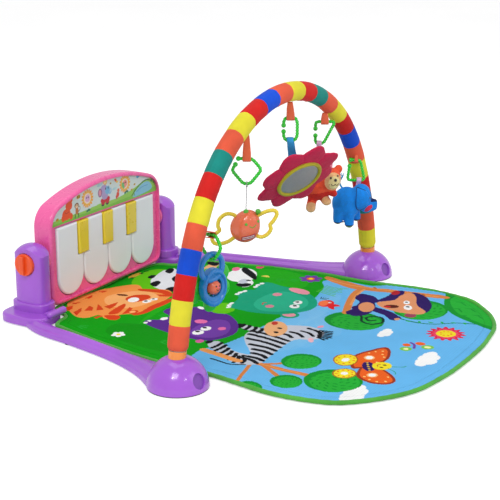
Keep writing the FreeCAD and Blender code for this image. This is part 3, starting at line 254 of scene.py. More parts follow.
# ------------------------------------------------------------------ materials
# name: (sRGB colour, options)
PLASTICS = {
    "purple_plastic": ((168, 88, 216), dict(rough=0.2, coat=0.6)),
    "pink_plastic": ((244, 98, 166), dict(rough=0.26, coat=0.35, vary=0.02, peel=0.02, wear=0.04)),
    "orange_plastic": ((246, 84, 20), dict(rough=0.3, coat=0.25)),
    "collar_plastic": ((252, 142, 44), dict(rough=0.3)),
    "white_key_plastic": ((236, 240, 247), dict(rough=0.42, coat=0.15, vary=0.015)),
    "yellow_key_plastic": ((238, 212, 40), dict(rough=0.3, coat=0.3)),
    "tube_plastic": ((205, 205, 200), dict(rough=0.5, coat=0.0)),
    # the release buttons sit in a recess; their darker purple is painted shade of that recess
    "button_plastic": ((128, 62, 176), dict(rough=0.35, coat=0.2)),
    "link_plastic": ((16, 206, 24), dict(rough=0.2, coat=0.5, subsurface=0.05)),
    "coral_plastic": ((240, 112, 72), dict(rough=0.24, coat=0.5)),
    "wing_plastic": ((240, 214, 48), dict(rough=0.26, coat=0.4)),
    "feeler_plastic": ((74, 178, 28), dict(rough=0.25)),
    "blue_plastic": ((10, 128, 208), dict(rough=0.22)),
    "leaf_plastic": ((34, 208, 28), dict(rough=0.3)),
    "black_plastic": ((24, 24, 28), dict(rough=0.35)),
    "white_plastic": ((240, 240, 238), dict(rough=0.3)),
    "pad_rubber": ((58, 58, 62), dict(rough=0.8, coat=0.0, peel=0.3)),
    "silicone": ((215, 215, 212), dict(rough=0.6, coat=0.0)),
    "solder_mask": ((20, 110, 52), dict(rough=0.4)),
    "patch_red": ((176, 30, 36), dict(rough=0.35)),
}
SLEEVE_COLORS = {"coral": (232, 92, 62), "yellow": (232, 222, 52), "red": (214, 26, 22),
                 "blue": (2, 78, 214), "teal": (14, 138, 128)}
FABRICS = {
    "loop_tape": ((240, 112, 76), dict(thread=1100.0, sheen=0.3)),
    "piping_binding": ((84, 176, 66), dict(thread=1200.0, sheen=0.3)),
    "olive_trim": ((188, 176, 42), dict(thread=1500.0)),
    "blue_ribbon": ((46, 158, 222), dict(thread=1600.0, rough=0.5)),
    "pink_ribbon": ((230, 190, 226), dict(thread=1600.0, rough=0.5)),
    "grey_cord": ((168, 168, 172), dict(thread=2500.0)),
    "navy_thread": ((14, 34, 92), dict(thread=2500.0)),
    "dark_thread": ((60, 34, 30), dict(thread=2500.0)),
    "tail_cord": ((48, 160, 220), dict(thread=2200.0)),
    "mat_backing": ((40, 130, 60), dict(thread=900.0, strength=0.4, sheen=0.2)),
}
PLUSHES = {
    "crimson_felt": ((206, 22, 74), dict(sheen=0.12, scale=420.0, vary=0.08)),
    "bear_plush": ((242, 84, 48), dict(sheen=0.25)),
    "bear_tan": ((240, 186, 130), {}),
    # darker red for the bear's cheek spots, also laid on its lower belly as painted shade
    "bear_scarf": ((214, 36, 24), dict(sheen=0.2)),
    "muzzle_plush": ((244, 226, 160), {}),
    "elephant_plush": ((4, 140, 244), dict(sheen=0.2)),
    "foot_pad_cloth": ((108, 136, 88), {}),
    "mouth_cloth": ((220, 44, 84), {}),
}
for maker, table in ((plastic, PLASTICS), (fabric, FABRICS), (plush, PLUSHES)):
    for name, (color, options) in table.items():
        maker(name, srgb(*color), **options)
for name, color in SLEEVE_COLORS.items():
    fabric("sleeve_" + name, srgb(*color), thread=1.0, uv=True, strength=0.25, sheen=0.12)
fabric("mat_print", thread=1300.0, strength=0.22, sheen=0.02, vary=0.05, attribute="Print",
       rough=0.9, specular=0.12)
metal("screw_steel", (0.62, 0.62, 0.64), rough=0.3)
metal("mirror_foil", (0.60, 0.60, 0.57), rough=0.46)
checked_cloth("tag_check", srgb(236, 120, 160), srgb(246, 178, 196), scale=420)
printed_film("picture_film")

# CAD pieces that keep their own mesh: material -> pieces
CAD_MATERIALS = {
    "purple_plastic": ["left_rail", "right_rail", "left_foot_dome", "right_foot_dome",
                       "left_post", "right_post", "underside_covers"],
    # darker purple on the release buttons: painted shade of the recess they sit in
    "button_plastic": ["left_release_button", "right_release_button"],
    "collar_plastic": ["leg_collars"],
    "orange_plastic": ["left_knob", "right_knob"],
    "pink_plastic": ["piano_front_shell", "piano_rear_shell", "battery_door"],
    "screw_steel": ["left_clamp_bolt", "right_clamp_bolt", "base_screws", "case_screws"],
    "pad_rubber": ["floor_pads"],
    "tube_plastic": ["arch_leg_tubes", "arch_top_tube"],
    "white_key_plastic": ["white_key_1", "white_key_2", "white_key_3", "white_key_4"],
    "yellow_key_plastic": ["yellow_key_1", "yellow_key_2", "yellow_key_3"],
    "silicone": ["contact_sheet"],
    "solder_mask": ["circuit_board"],
    "black_plastic": ["speaker", "batteries", "power_switch"],
}
for name, pieces in CAD_MATERIALS.items():
    for piece in pieces:
        cad_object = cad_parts[piece]
        for material_slot in cad_object.material_slots:
            material_slot.material = MAT[name]
        if not cad_object.material_slots:
            cad_object.data.materials.append(MAT[name])


# ------------------------------------------------------------------ mesh makers
def shade_smooth(ob):
    ob.data.polygons.foreach_set("use_smooth", np.ones(len(ob.data.polygons), bool))


def new_object(name, verts, faces, materials, face_mat=None, smooth=True, uv=None):
    """Object from vertices in metres; uv holds one pair per vertex."""
    mesh = bpy.data.meshes.new(name)
    mesh.from_pydata([tuple(v) for v in verts], [], faces)
    for material in materials:
        mesh.materials.append(material)
    if face_mat is not None:
        mesh.polygons.foreach_set("material_index", np.asarray(face_mat, np.int32))
    if smooth:
        mesh.polygons.foreach_set("use_smooth", np.ones(len(mesh.polygons), bool))
    if uv is not None:
        layer = mesh.uv_layers.new(name="UVMap")
        corner = np.zeros(len(mesh.loops), np.int32)
        mesh.loops.foreach_get("vertex_index", corner)
        layer.data.foreach_set("uv", np.asarray(uv, np.float32)[corner].ravel())
    mesh.validate()
    mesh.update()
    ob = bpy.data.objects.new(name, mesh)
    bpy.context.scene.collection.objects.link(ob)
    return ob


def grid(points, wrap_u=False, wrap_v=False):
    """Faces of a grid of points [nu, nv, ...]."""
    nu, nv = points.shape[:2]
    faces = []
    for i in range(nu if wrap_u else nu - 1):
        a, b = i * nv, ((i + 1) % nu) * nv
        for j in range(nv if wrap_v else nv - 1):
            k = (j + 1) % nv
            faces.append((a + j, b + j, b + k, a + k))
    return faces


def fix_normals(ob, weld=False):
    bm = bmesh.new()
    bm.from_mesh(ob.data)
    if weld:
        bmesh.ops.remove_doubles(bm, verts=bm.verts, dist=0.00001)
    bmesh.ops.recalc_face_normals(bm, faces=bm.faces)
    bm.to_mesh(ob.data)
    bm.free()
    return ob


def welded_sheet(rows, material, name="part"):
    """Surface through rows of points (mm), each row a ring; meeting points are merged."""
    rows = np.array(rows)
    ob = new_object(name, rows.reshape(-1, 3) * MM, grid(rows, wrap_v=True), [MAT[material]])
    fix_normals(ob, weld=True)
    shade_smooth(ob)
    return ob


def tube(path, radius, material, name="part", closed=False, seg=16, up=None):
    """A tube along path (mm); radius is a number or one per point."""
    path = np.asarray(path, float) * MM
    n = len(path)
    rad = np.full(n, radius * MM, float) if np.isscalar(radius) else np.asarray(radius) * MM
    if closed:
        tan = np.roll(path, -1, 0) - np.roll(path, 1, 0)
    else:
        tan = np.gradient(path, axis=0)
    tan /= np.linalg.norm(tan, axis=1)[:, None] + 1e-12
    ref = np.array(up if up is not None else (0, 0, 1.0), float)
    if up is None and abs(tan[0] @ ref) > 0.9:
        ref = np.array((0, 1.0, 0))
    first = []
    v = ref - tan[0] * (ref @ tan[0])
    v /= np.linalg.norm(v)
    for i in range(n):
        v = v - tan[i] * (v @ tan[i])
        v /= np.linalg.norm(v) + 1e-12
        first.append(v.copy())
    first = np.array(first)
    if closed:  # spread the leftover twist
        v = first[-1] - tan[0] * (first[-1] @ tan[0])
        v /= np.linalg.norm(v)
        twist = math.atan2(np.cross(first[0], v) @ tan[0], first[0] @ v)
        for i in range(n):
            a = -twist * i / n
            w = np.cross(tan[i], first[i])
            first[i] = first[i] * math.cos(a) + w * math.sin(a)
    second = np.cross(tan, first)
    th = np.linspace(0, FULL_TURN, seg, endpoint=False)
    points = path[:, None, :] + rad[:, None, None] * (
        np.cos(th)[None, :, None] * first[:, None, :]
        + np.sin(th)[None, :, None] * second[:, None, :])
    faces = grid(points, wrap_u=closed, wrap_v=True)
    if not closed:
        faces.append(tuple(range(seg))[::-1])
        faces.append(tuple((n - 1) * seg + k for k in range(seg)))
    along = np.concatenate([[0], np.cumsum(np.linalg.norm(np.diff(path, axis=0), axis=1))])
    uv = np.stack([np.repeat(along, seg), np.tile(th * rad.mean(), n)], 1)
    return fix_normals(new_object(name, points.reshape(-1, 3), faces, [MAT[material]], uv=uv))


def ball(centre, radii, material, name="part", axes=None, sub=4, noise_amp=0.0, noise_scale=60):
    """Icosphere stretched to radii (mm, one number or three) along axes."""
    bm = bmesh.new()
    bmesh.ops.create_icosphere(bm, subdivisions=sub, radius=1.0)
    sphere = np.array([v.co for v in bm.verts])
    faces = [tuple(v.index for v in f.verts) for f in bm.faces]
    bm.free()
    turn = np.eye(3) if axes is None else np.array(axes, float)
    points = (sphere * (np.asarray(radii) * MM)) @ turn + np.asarray(centre) * MM
    if noise_amp:
        lump = noise_amp * MM * layered_noise(points, noise_scale, 1)
        points = points + sphere @ turn * lump[:, None]
    return new_object(name, points, faces, [MAT[material]])


def smooth_path(points, per=12, closed=False):
    """Catmull-Rom curve through the points."""
    points = np.asarray(points, float)
    n = len(points)
    out = []
    for i in range(n if closed else n - 1):
        if closed:
            p0, p1, p2, p3 = (points[(i + k) % n] for k in (-1, 0, 1, 2))
        else:
            p0, p1, p2, p3 = (points[min(max(i + k, 0), n - 1)] for k in (-1, 0, 1, 2))
        for k in range(per):
            t = k / per
            out.append(0.5 * ((2 * p1) + (-p0 + p2) * t
                              + (2 * p0 - 5 * p1 + 4 * p2 - p3) * t * t
                              + (-p0 + 3 * p1 - 3 * p2 + p3) * t ** 3))
    if not closed:
        out.append(points[-1])
    return np.array(out)


def flat_path(points, per, closed=False):
    """smooth_path for (x, y) points."""
    return smooth_path([(x, y, 0) for x, y in points], per, closed)[:, :2]


def hand_over(ob, body, replaced=None):
    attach(ob, body)
    if replaced:
        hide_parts(replaced)
    return ob


# ------------------------------------------------------------------ hoop sleeve
# Hoop centre line in metres: one top arc, and a wider arc down to each foot.
TOP_RADIUS = 0.316
TOP_CENTRE_Z = 0.1075
TOP_HALF_ANGLE = math.radians(62.8)
LEG_RADIUS = 0.606
FOOT_Z = 0.062
JOINT_X = TOP_RADIUS * math.sin(TOP_HALF_ANGLE)
JOINT_Z = TOP_CENTRE_Z + TOP_RADIUS * math.cos(TOP_HALF_ANGLE)
LEG_CENTRE_X = JOINT_X - LEG_RADIUS * math.sin(TOP_HALF_ANGLE)
LEG_CENTRE_Z = JOINT_Z - LEG_RADIUS * math.cos(TOP_HALF_ANGLE)
FOOT_ANGLE = math.acos((FOOT_Z - LEG_CENTRE_Z) / LEG_RADIUS)
LEG_LENGTH = LEG_RADIUS * (FOOT_ANGLE - TOP_HALF_ANGLE)
HOOP_LENGTH = 2 * LEG_LENGTH + 2 * TOP_RADIUS * TOP_HALF_ANGLE
BANDS = 26
BAND_ORDER = ["coral", "yellow", "red", "blue", "coral", "yellow", "red", "teal"]


def hoop(s):
    """Point and outward normal on the centre line, s metres from the -X foot."""
    leg = min(s, HOOP_LENGTH - s)
    if leg < LEG_LENGTH:
        a = FOOT_ANGLE - leg / LEG_RADIUS
        sign = -1 if s < LEG_LENGTH else 1
        point = [sign * (LEG_CENTRE_X + LEG_RADIUS * math.sin(a)), 0,
                 LEG_CENTRE_Z + LEG_RADIUS * math.cos(a)]
        return np.array(point), np.array([sign * math.sin(a), 0, math.cos(a)])
    a = -TOP_HALF_ANGLE + (s - LEG_LENGTH) / TOP_RADIUS
    point = [TOP_RADIUS * math.sin(a), 0, TOP_CENTRE_Z + TOP_RADIUS * math.cos(a)]
    return np.array(point), np.array([math.sin(a), 0, math.cos(a)])


def seam_at(i):
    return HOOP_LENGTH * i / BANDS - 0.009 * math.sin(2 * math.pi * i / BANDS)


def build_sleeve():
    seg, per_band = 72, 18
    rest_radius = 0.017
    end_radius = 0.0133
    seams = np.array([seam_at(i) for i in range(BANDS + 1)])
    stations = []
    for start, end in zip(seams[:-1], seams[1:]):
        u = np.linspace(0, 1, per_band, endpoint=False)
        u = 0.5 - 0.5 * np.cos(np.pi * u) * (1 - 0.25 * np.sin(np.pi * u))  # denser near seams
        stations += list(start + u * (end - start))
    stations = np.array(sorted(set(np.round(stations, 6))) + [HOOP_LENGTH - 1e-6])
    count = len(stations)
    th = np.linspace(0, FULL_TURN, seg, endpoint=False)
    centres, outward = (np.array(v) for v in zip(*[hoop(s) for s in stations]))
    across = np.array([0, 1.0, 0])
    dirs = (np.cos(th)[None, :, None] * outward[:, None, :]
            + np.sin(th)[None, :, None] * across[None, None, :])
    to_seam = np.abs(stations[:, None] - seams[None, :]).min(1)
    radius = 0.0171 - 0.0007 * np.exp(-(to_seam / 0.0013) ** 2)
    rest = (centres[:, None, :] + dirs * rest_radius).reshape(-1, 3)
    inner = (1 - np.cos(th)) / 2
    # lengthwise gathers by each seam, cross creases inside the bend, a slow wander, one seam
    along, around = np.meshgrid(stations, th, indexing="ij")
    shape = along.shape
    band_shift = np.floor(along / (HOOP_LENGTH / BANDS)) * 3.1
    gather_at = np.stack([np.cos(around) * 2.3, np.sin(around) * 2.3, band_shift + along * 6], -1)
    gather = (value_noise(gather_at.reshape(-1, 3), 2.6, 3).reshape(shape) * 0.00045
              * np.exp(-to_seam / 0.009)[:, None])
    crease_at = np.stack([along * 150, np.cos(around) * 0.8, np.sin(around) * 0.8], -1)
    crease = (value_noise(crease_at.reshape(-1, 3), 1.0, 9).reshape(shape) * 0.0005
              * inner[None, :] ** 2)
    slow = value_noise(rest, 38.0, 5).reshape(shape) * 0.00035
    long_seam = 0.0005 * np.exp(-((np.abs(th - np.pi)) / 0.05) ** 2)[None, :]
    radii = radius[:, None] + gather + crease + slow + long_seam
    to_end = np.minimum(stations, HOOP_LENGTH - stations)
    radii = radii - 0.0022 * np.exp(-(to_end / 0.004) ** 2)[:, None]
    points = centres[:, None, :] + dirs * radii[:, :, None]
    faces = grid(points, wrap_v=True)
    # turn both ends in towards the tube
    verts = [points.reshape(-1, 3)]
    ring_start = count * seg
    for row in (0, count - 1):
        verts.append(centres[row][None, :] + dirs[row] * end_radius)
        for j in range(seg):
            a, b = (j, (j + 1) % seg) if row else ((j + 1) % seg, j)
            faces.append((row * seg + a, row * seg + b, ring_start + b, ring_start + a))
        ring_start += seg
    verts = np.concatenate(verts)
    keys = list(SLEEVE_COLORS)
    bands = [int(np.searchsorted(seams, s + 1e-5) - 1) for s in stations[:-1]]
    bands += [0, BANDS - 1]
    face_mat = []
    for band in bands:
        face_mat += [keys.index(BAND_ORDER[min(band, BANDS - 1) % 8])] * seg
    uv_per_metre = 40
    uv = np.zeros((len(verts), 2))
    uv[:count * seg, 0] = np.repeat(stations, seg) * uv_per_metre
    uv[:count * seg, 1] = np.tile(th, count) * rest_radius * uv_per_metre
    ob = new_object("hoop_sleeve_cloth", verts, faces, [MAT["sleeve_" + k] for k in keys],
                    face_mat=face_mat, uv=uv)
    fix_normals(ob)
    hand_over(ob, "base", "arch_sleeve")


build_sleeve()

# ------------------------------------------------------------------ flat painting
# Half outline of the mat, (x, y) in mm, from its -Y end to its +Y end
MAT_HALF = [
    (0, -358), (60, -357), (112, -351), (168, -340), (216, -316), (256, -282), (281, -252),
    (293, -217), (300, -171), (299, -127), (291, -75), (285, -40), (283, 0), (284.5, 40),
    (284, 72), (278, 125), (268, 182), (257, 235), (246, 284), (236, 322), (230, 339),
    (211, 348.5), (192, 352), (181, 359), (174, 371), (171, 388), (160, 399), (120, 404),
    (60, 405), (0, 405)]
MAT_OUTLINE = flat_path(MAT_HALF + [(-x, y) for x, y in reversed(MAT_HALF[1:-1])], per=10,
                        closed=True)


def inside(polygon, x, y):
    polygon = np.asarray(polygon, float)
    result = np.zeros(x.shape, bool)
    x0, y0 = polygon[-1]
    for x1, y1 in polygon:
        hit = ((y1 > y) != (y0 > y))
        with np.errstate(divide="ignore", invalid="ignore"):
            crossing = (x0 - x1) * (y - y1) / (y0 - y1) + x1
        result ^= hit & (x < crossing)
        x0, y0 = x1, y1
    return result


class Paint:
    """Flat shapes painted on sample points of a plane, in millimetres; later covers earlier."""

    def __init__(self, x, y, base):
        self.x, self.y = x, y
        self.colors = np.tile(np.array(base, float), (len(x), 1))

    def _box(self, x0, x1, y0, y1):
        return np.nonzero((self.x > x0) & (self.x < x1) & (self.y > y0) & (self.y < y1))[0]

    def blob(self, points, color, curved=True):
        p = flat_path(points, per=6, closed=True) if curved else np.array(points, float)
        i = self._box(p[:, 0].min(), p[:, 0].max(), p[:, 1].min(), p[:, 1].max())
        self.colors[i[inside(p, self.x[i], self.y[i])]] = color

    def oval(self, cx, cy, rx, ry, color, angle=0.0, opacity=1.0):
        reach = max(rx, ry) + 1
        i = self._box(cx - reach, cx + reach, cy - reach, cy + reach)
        t = math.radians(angle)
        dx, dy = self.x[i] - cx, self.y[i] - cy
        u, v = dx * math.cos(t) + dy * math.sin(t), -dx * math.sin(t) + dy * math.cos(t)
        j = i[(u / rx) ** 2 + (v / ry) ** 2 <= 1]
        self.colors[j] = self.colors[j] * (1 - opacity) + np.array(color) * opacity

    def ovals(self, *rows):
        """Each row holds the arguments of one oval."""
        for row in rows:
            self.oval(*row)

    def dots(self, centres, rx, ry, color, angle=0.0):
        """The same oval at several centres."""
        for cx, cy in centres:
            self.oval(cx, cy, rx, ry, color, angle)

    def ring(self, centre, reach, count, step, rx, ry, color, turned=False):
        """Ovals set round a centre, step radians apart."""
        for k in range(count):
            t = k * step
            self.oval(centre[0] + reach[0] * math.cos(t), centre[1] + reach[1] * math.sin(t),
                      rx, ry, color, math.degrees(t) if turned else 0.0)

    def line(self, points, width, color):
        p = flat_path(points, per=6) if len(points) > 2 else np.array(points, float)
        w = width / 2.0
        for a, b in zip(p[:-1], p[1:]):
            i = self._box(min(a[0], b[0]) - w, max(a[0], b[0]) + w,
                          min(a[1], b[1]) - w, max(a[1], b[1]) + w)
            if not len(i):
                continue
            d = b - a
            t = ((self.x[i] - a[0]) * d[0] + (self.y[i] - a[1]) * d[1]) / (d @ d + 1e-9)
            t = np.clip(t, 0, 1)
            away = np.hypot(self.x[i] - a[0] - t * d[0], self.y[i] - a[1] - t * d[1])
            self.colors[i[away <= w]] = color

    def star(self, cx, cy, radius, wave, count, color):
        t = np.linspace(0, FULL_TURN, 160, endpoint=False)
        r = radius + wave * np.cos(count * t)
        self.blob(np.stack([cx + r * np.cos(t), cy + r * np.sin(t)], 1), color, curved=False)


SKY, SKY_PALE, SKY_FAR = srgb(104, 184, 236), srgb(140, 202, 240), srgb(92, 170, 230)
GRASS, GRASS_PALE, LIME = srgb(4, 158, 8), srgb(28, 170, 14), srgb(96, 196, 10)
LEAF, LEAF_PALE = srgb(12, 146, 44), srgb(34, 172, 52)
WOOD, WOOD_PALE = srgb(214, 130, 66), srgb(232, 154, 86)
WHITE, BLACK, GREY = srgb(242, 244, 244), srgb(14, 16, 22), srgb(196, 202, 214)
PURPLE, PURPLE_PALE = srgb(88, 42, 140), srgb(112, 60, 164)
TEAL, TEAL_PALE, PINK = srgb(18, 162, 122), srgb(40, 180, 140), srgb(238, 150, 168)
TAN, TAN_DARK, NIGHT = srgb(234, 176, 124), srgb(222, 148, 104), srgb(44, 22, 96)
TIGER, TIGER_PALE, STRIPE = srgb(242, 150, 72), srgb(250, 178, 110), srgb(216, 66, 22)
CRIMSON, YELLOW, ORANGE = srgb(216, 28, 70), srgb(238, 220, 40), srgb(232, 96, 28)
RUST, HIPPO_PINK = srgb(150, 52, 26), srgb(230, 110, 170)


# ------------------------------------------------------------------ the mat's picture
def crown(art, cx, cy, rx, ry):
    """A round tree crown with rings of leaf strokes."""
    art.oval(cx, cy, rx, ry, LEAF)
    art.oval(cx - rx * 0.08, cy - ry * 0.1, rx * 0.86, ry * 0.84, LEAF_PALE)
    for reach, count in ((0.3, 7), (0.52, 11), (0.74, 15)):
        for k in range(count):
            t = 2 * math.pi * (k + reach) / count
            art.oval(cx + rx * reach * math.cos(t), cy + ry * reach * math.sin(t),
                     rx * 0.10, rx * 0.035, LEAF, math.degrees(t) + 60)


def cloud(art, cx, cy, size):
    for dx, dy, r in ((-22, 2, 11), (-8, -5, 14), (8, -4, 13), (21, 3, 10), (0, 5, 13),
                      (-14, 6, 10), (14, 7, 9)):
        art.oval(cx + dx * size, cy + dy * size, r * size, r * size * 0.85, WHITE)


def eye(art, x, y, r, look):
    art.oval(x, y, r, r * 0.82, WHITE)
    art.oval(x + r * look[0], y + r * look[1], r * 0.36, r * 0.36, BLACK)


def paint_meadow_and_sky(art):
    art.blob([(-330, 44), (-262, 44), (-200, 50), (-160, 30), (-110, 21), (-60, 16), (0, 12),
              (80, 6), (150, 13), (205, 26), (240, 46), (262, 20), (268, -50), (300, -70),
              (340, -40), (340, 430), (-340, 430)], GRASS)
    art.blob([(-240, 90), (-190, 80), (-160, 130), (-150, 200), (-170, 250), (-215, 240),
              (-240, 170)], srgb(2, 146, 6))
    art.blob([(-150, 215), (-40, 225), (60, 235), (150, 260), (210, 300), (150, 300), (40, 260),
              (-60, 240)], GRASS_PALE)
    art.blob([(180, 60), (240, 80), (262, 140), (240, 190), (200, 170), (170, 120)], GRASS_PALE)
    art.blob([(26, 300), (70, 292), (110, 330), (140, 356), (120, 380), (60, 378), (20, 350)],
             LIME)
    art.blob([(-40, 120), (0, 105), (30, 140), (0, 160), (-25, 150)], LIME)
    art.blob([(80, 200), (170, 225), (210, 250), (190, 262), (120, 235), (70, 215)], LIME)
    for x, y in ((-150, 330), (-90, 210), (200, 130), (240, 240), (-215, 300), (-200, 130),
                 (215, 105)):
        for k in (-1, 0, 1):
            art.line([(x + k * 4, y), (x + k * 9, y - 14 - 3 * (k == 0))], 2.4, LEAF_PALE)
    # haze low in the sky
    for k in range(7):
        art.oval(-30 + 22 * k - 60, -60 - 10 * (k % 3), 60, 22, SKY_PALE, 8 * k, 0.18)
    art.oval(60, -20, 120, 26, SKY_PALE, 0, 0.3)


def paint_corner_leaves(art):
    art.blob([(150, -346), (190, -350), (240, -322), (278, -280), (304, -220), (306, -190),
              (276, -200), (236, -214), (202, -236), (176, -268), (160, -306)], LEAF)
    art.blob([(166, -336), (196, -340), (240, -306), (272, -262), (290, -220), (262, -216),
              (224, -236), (194, -262), (176, -298)], LEAF_PALE)
    for x, y, angle in ((200, -300, 50), (230, -275, 50), (255, -245, 50), (185, -280, 60),
                        (215, -255, 40)):
        art.oval(x, y, 12, 2.0, LEAF, angle)
        art.oval(x + 6, y + 9, 9, 1.6, LEAF, angle + 70)
    art.blob([(-300, 10), (-276, -8), (-262, 30), (-280, 50)], LEAF)


def paint_trees(art):
    crown(art, 182, -190, 55, 50)
    crown(art, 66, -110, 50, 55)
    art.blob([(256, 50), (238, 10), (226, -30), (232, -60), (246, -110), (252, -160),
              (262, -205), (278, -204), (272, -150), (262, -90), (254, -50), (262, 0),
              (272, 50)], WOOD)
    art.line([(236, -44), (200, -44), (150, -58), (100, -76)], 15, WOOD)
    art.line([(236, -47), (190, -52), (140, -66)], 5, WOOD_PALE)
    art.line([(256, 40), (246, -20), (256, -100), (266, -190)], 4, WOOD_PALE)
    art.dots(((256, -60), (250, -120), (262, -160)), 7, 3, srgb(186, 104, 48), 40)
    art.line([(-206, -62), (-208, -110), (-209, -160)], 13, WOOD)
    art.line([(-206, -76), (-226, -106), (-244, -132)], 9, WOOD)
    art.line([(-206, -74), (-190, -94), (-176, -104)], 8, WOOD)
    art.line([(-208, -56), (-240, -66), (-302, -82)], 7, WOOD)
    art.line([(-209, -150), (-207, -90), (-204, -66)], 3, WOOD_PALE)
    crown(art, -250, -147, 27, 26)
    crown(art, -160, -125, 34, 34)
    crown(art, -307, -105, 28, 26)
    cloud(art, -236, -263, 1.15)
    crown(art, -208, -210, 47, 48)
    cloud(art, -42, -303, 1.1)
    cloud(art, 37, -187, 0.72)
    # hanging vine
    art.line([(160, -306), (146, -276), (124, -244), (116, -214), (118, -176)], 3.4,
             srgb(16, 120, 80))
    for k in range(6):
        art.oval(152 - 7.5 * k, -290 + 19 * k, 5, 2.4, LEAF_PALE, 40 + 50 * (k % 2))


def paint_butterflies(art):
    art.blob([(-128, -222), (-172, -234), (-186, -262), (-180, -290), (-162, -298),
              (-142, -286), (-124, -262), (-112, -240)], RUST)
    art.blob([(-128, -226), (-168, -238), (-181, -262), (-176, -286), (-162, -293),
              (-145, -282), (-128, -260), (-117, -242)], ORANGE)
    art.blob([(-112, -238), (-80, -246), (-42, -234), (-28, -218), (-48, -204), (-88, -190),
              (-126, -200), (-146, -216)], RUST)
    art.blob([(-110, -234), (-80, -241), (-46, -230), (-35, -218), (-52, -208), (-88, -195),
              (-122, -204), (-138, -216)], ORANGE)
    for cx, cy, rx, ry, angle in ((-172, -212, 21, 20, 0), (-117, -186, 28, 21, 20)):
        art.oval(cx, cy, rx, ry, srgb(170, 90, 30), angle)
        art.oval(cx, cy, rx - 2.5, ry - 2.5, YELLOW, angle)
        art.oval(cx, cy, rx * 0.3, ry * 0.3, WHITE)
        art.ring((cx, cy), (rx * 0.66, ry * 0.66), 9, 0.7, 2, 2, ORANGE)
    for cx, cy, r in ((-155, -254, 10), (-88, -216, 10)):
        art.oval(cx, cy, r, r * 0.9, srgb(248, 190, 120))
        art.oval(cx, cy, r * 0.7, r * 0.62, WHITE)
    art.dots(((-168, -284), (-176, -272), (-174, -258), (-168, -246), (-150, -280),
              (-62, -228), (-48, -222), (-56, -212), (-68, -206), (-72, -236), (-100, -236)),
             2.2, 2.2, srgb(250, 210, 120))
    art.oval(-124, -232, 21, 10.5, NIGHT, 32)
    for k in range(-2, 3):
        art.oval(-124 + 7 * k, -232 + 4.4 * k, 2.2, 2.2, srgb(230, 190, 60))
    art.oval(-110, -250, 18, 16, YELLOW)
    art.dots(((-116, -252), (-104, -252)), 2.6, 3.2, srgb(70, 40, 20))
    art.line([(-116, -245), (-110, -242), (-104, -245)], 1.6, srgb(190, 60, 40))
    for dx in (-1, 1):
        art.line([(-110 + dx * 5, -264), (-110 + dx * 14, -280), (-110 + dx * 22, -284)], 1.5,
                 LEAF)
    # the small one
    wing, spot = srgb(120, 196, 70), srgb(240, 240, 170)
    art.ovals((8, -280, 10, 11, wing), (-18, -251, 11, 10, wing), (8, -280, 5, 6, spot),
              (-18, -251, 5, 5, spot), (18, -262, 7, 9, ORANGE), (1, -244, 7, 7, ORANGE))
    art.line([(-8, -262), (8, -255), (14, -246)], 5, PURPLE_PALE)


def paint_flowers_and_fish(art):
    # large sun-like flower
    art.star(86, -281, 31, 4.5, 15, CRIMSON)
    art.star(86, -281, 24, 3.0, 15, srgb(232, 70, 100))
    art.oval(86, -281, 17.5, 17.5, YELLOW)
    art.ring((86, -281), (10, 10), 8, 0.785, 1.8, 1.8, ORANGE)
    # fish
    art.oval(124, -22, 19, 15, srgb(222, 40, 44), 20)
    art.oval(124, -17, 15, 9, srgb(246, 120, 70), 20)
    art.blob([(108, -34), (102, -50), (116, -44), (124, -52), (128, -38)], srgb(222, 30, 40))
    art.oval(131, -26, 3, 3, WHITE)
    art.oval(132, -26, 1.4, 1.4, BLACK)
    for k in range(4):
        art.line([(108 - 3 * k, -14 + 4 * k), (100 - 3 * k, -10 + 5 * k)], 1.8, BLACK)
        art.line([(142, -10 + 3 * k), (152, -12 + 5 * k)], 1.8, BLACK)
    # reeds
    for k in range(7):
        art.line([(176 + 7 * k, 26), (172 + 7 * k, 0), (168 + 9 * k, -18 + 4 * (k % 3))], 2.6,
                 srgb(84, 190, 60))
    # purple flower
    art.ring((240, 74), (15, 14), 7, 0.898, 9, 6.5, PURPLE_PALE, turned=True)
    art.oval(240, 74, 9, 8, ORANGE)
    art.oval(240, 74, 5, 4.5, YELLOW)


def paint_monkey(art):
    art.line([(116, -92), (92, -112), (70, -124), (66, -146), (84, -158), (104, -148),
              (106, -130), (92, -122), (80, -132), (88, -142)], 5, srgb(10, 50, 40))
    art.line([(132, -84), (140, -112), (132, -146), (118, -164)], 22, NIGHT)
    art.oval(116, -168, 13, 11, NIGHT)
    art.oval(113, -174, 6, 5, TAN_DARK)
    art.blob([(90, -98), (110, -116), (150, -112), (186, -88), (204, -64), (196, -52),
              (178, -56), (160, -74), (120, -78), (98, -84)], NIGHT)
    art.oval(143, -97, 26, 15, TAN_DARK, 24)
    art.line([(178, -98), (196, -80), (200, -60)], 16, NIGHT)
    art.line([(118, -86), (106, -80), (98, -84)], 11, NIGHT)
    art.blob([(170, -204), (206, -202), (240, -182), (262, -158), (266, -136), (240, -140),
              (200, -158), (176, -180)], NIGHT)
    art.blob([(176, -96), (200, -122), (240, -126), (266, -118), (258, -102), (224, -104),
              (196, -100)], NIGHT)
    art.oval(144, -186, 12, 11, srgb(150, 66, 92))
    art.blob([(158, -198), (178, -202), (206, -172), (246, -152), (262, -134), (240, -124),
              (206, -124), (176, -104), (158, -118), (150, -144), (150, -172)], TAN_DARK)
    art.ovals((182, -164, 13, 8, WHITE, 24), (207, -150, 10, 6, WHITE, 20),
              (186, -162, 3.6, 3.6, BLACK), (208, -149, 3, 3, BLACK),
              (170, -136, 14, 9, srgb(88, 30, 22), -50),
              (164, -130, 7, 4.5, srgb(200, 40, 44), -50),
              (248, -108, 14, 8, srgb(176, 30, 44), 10))


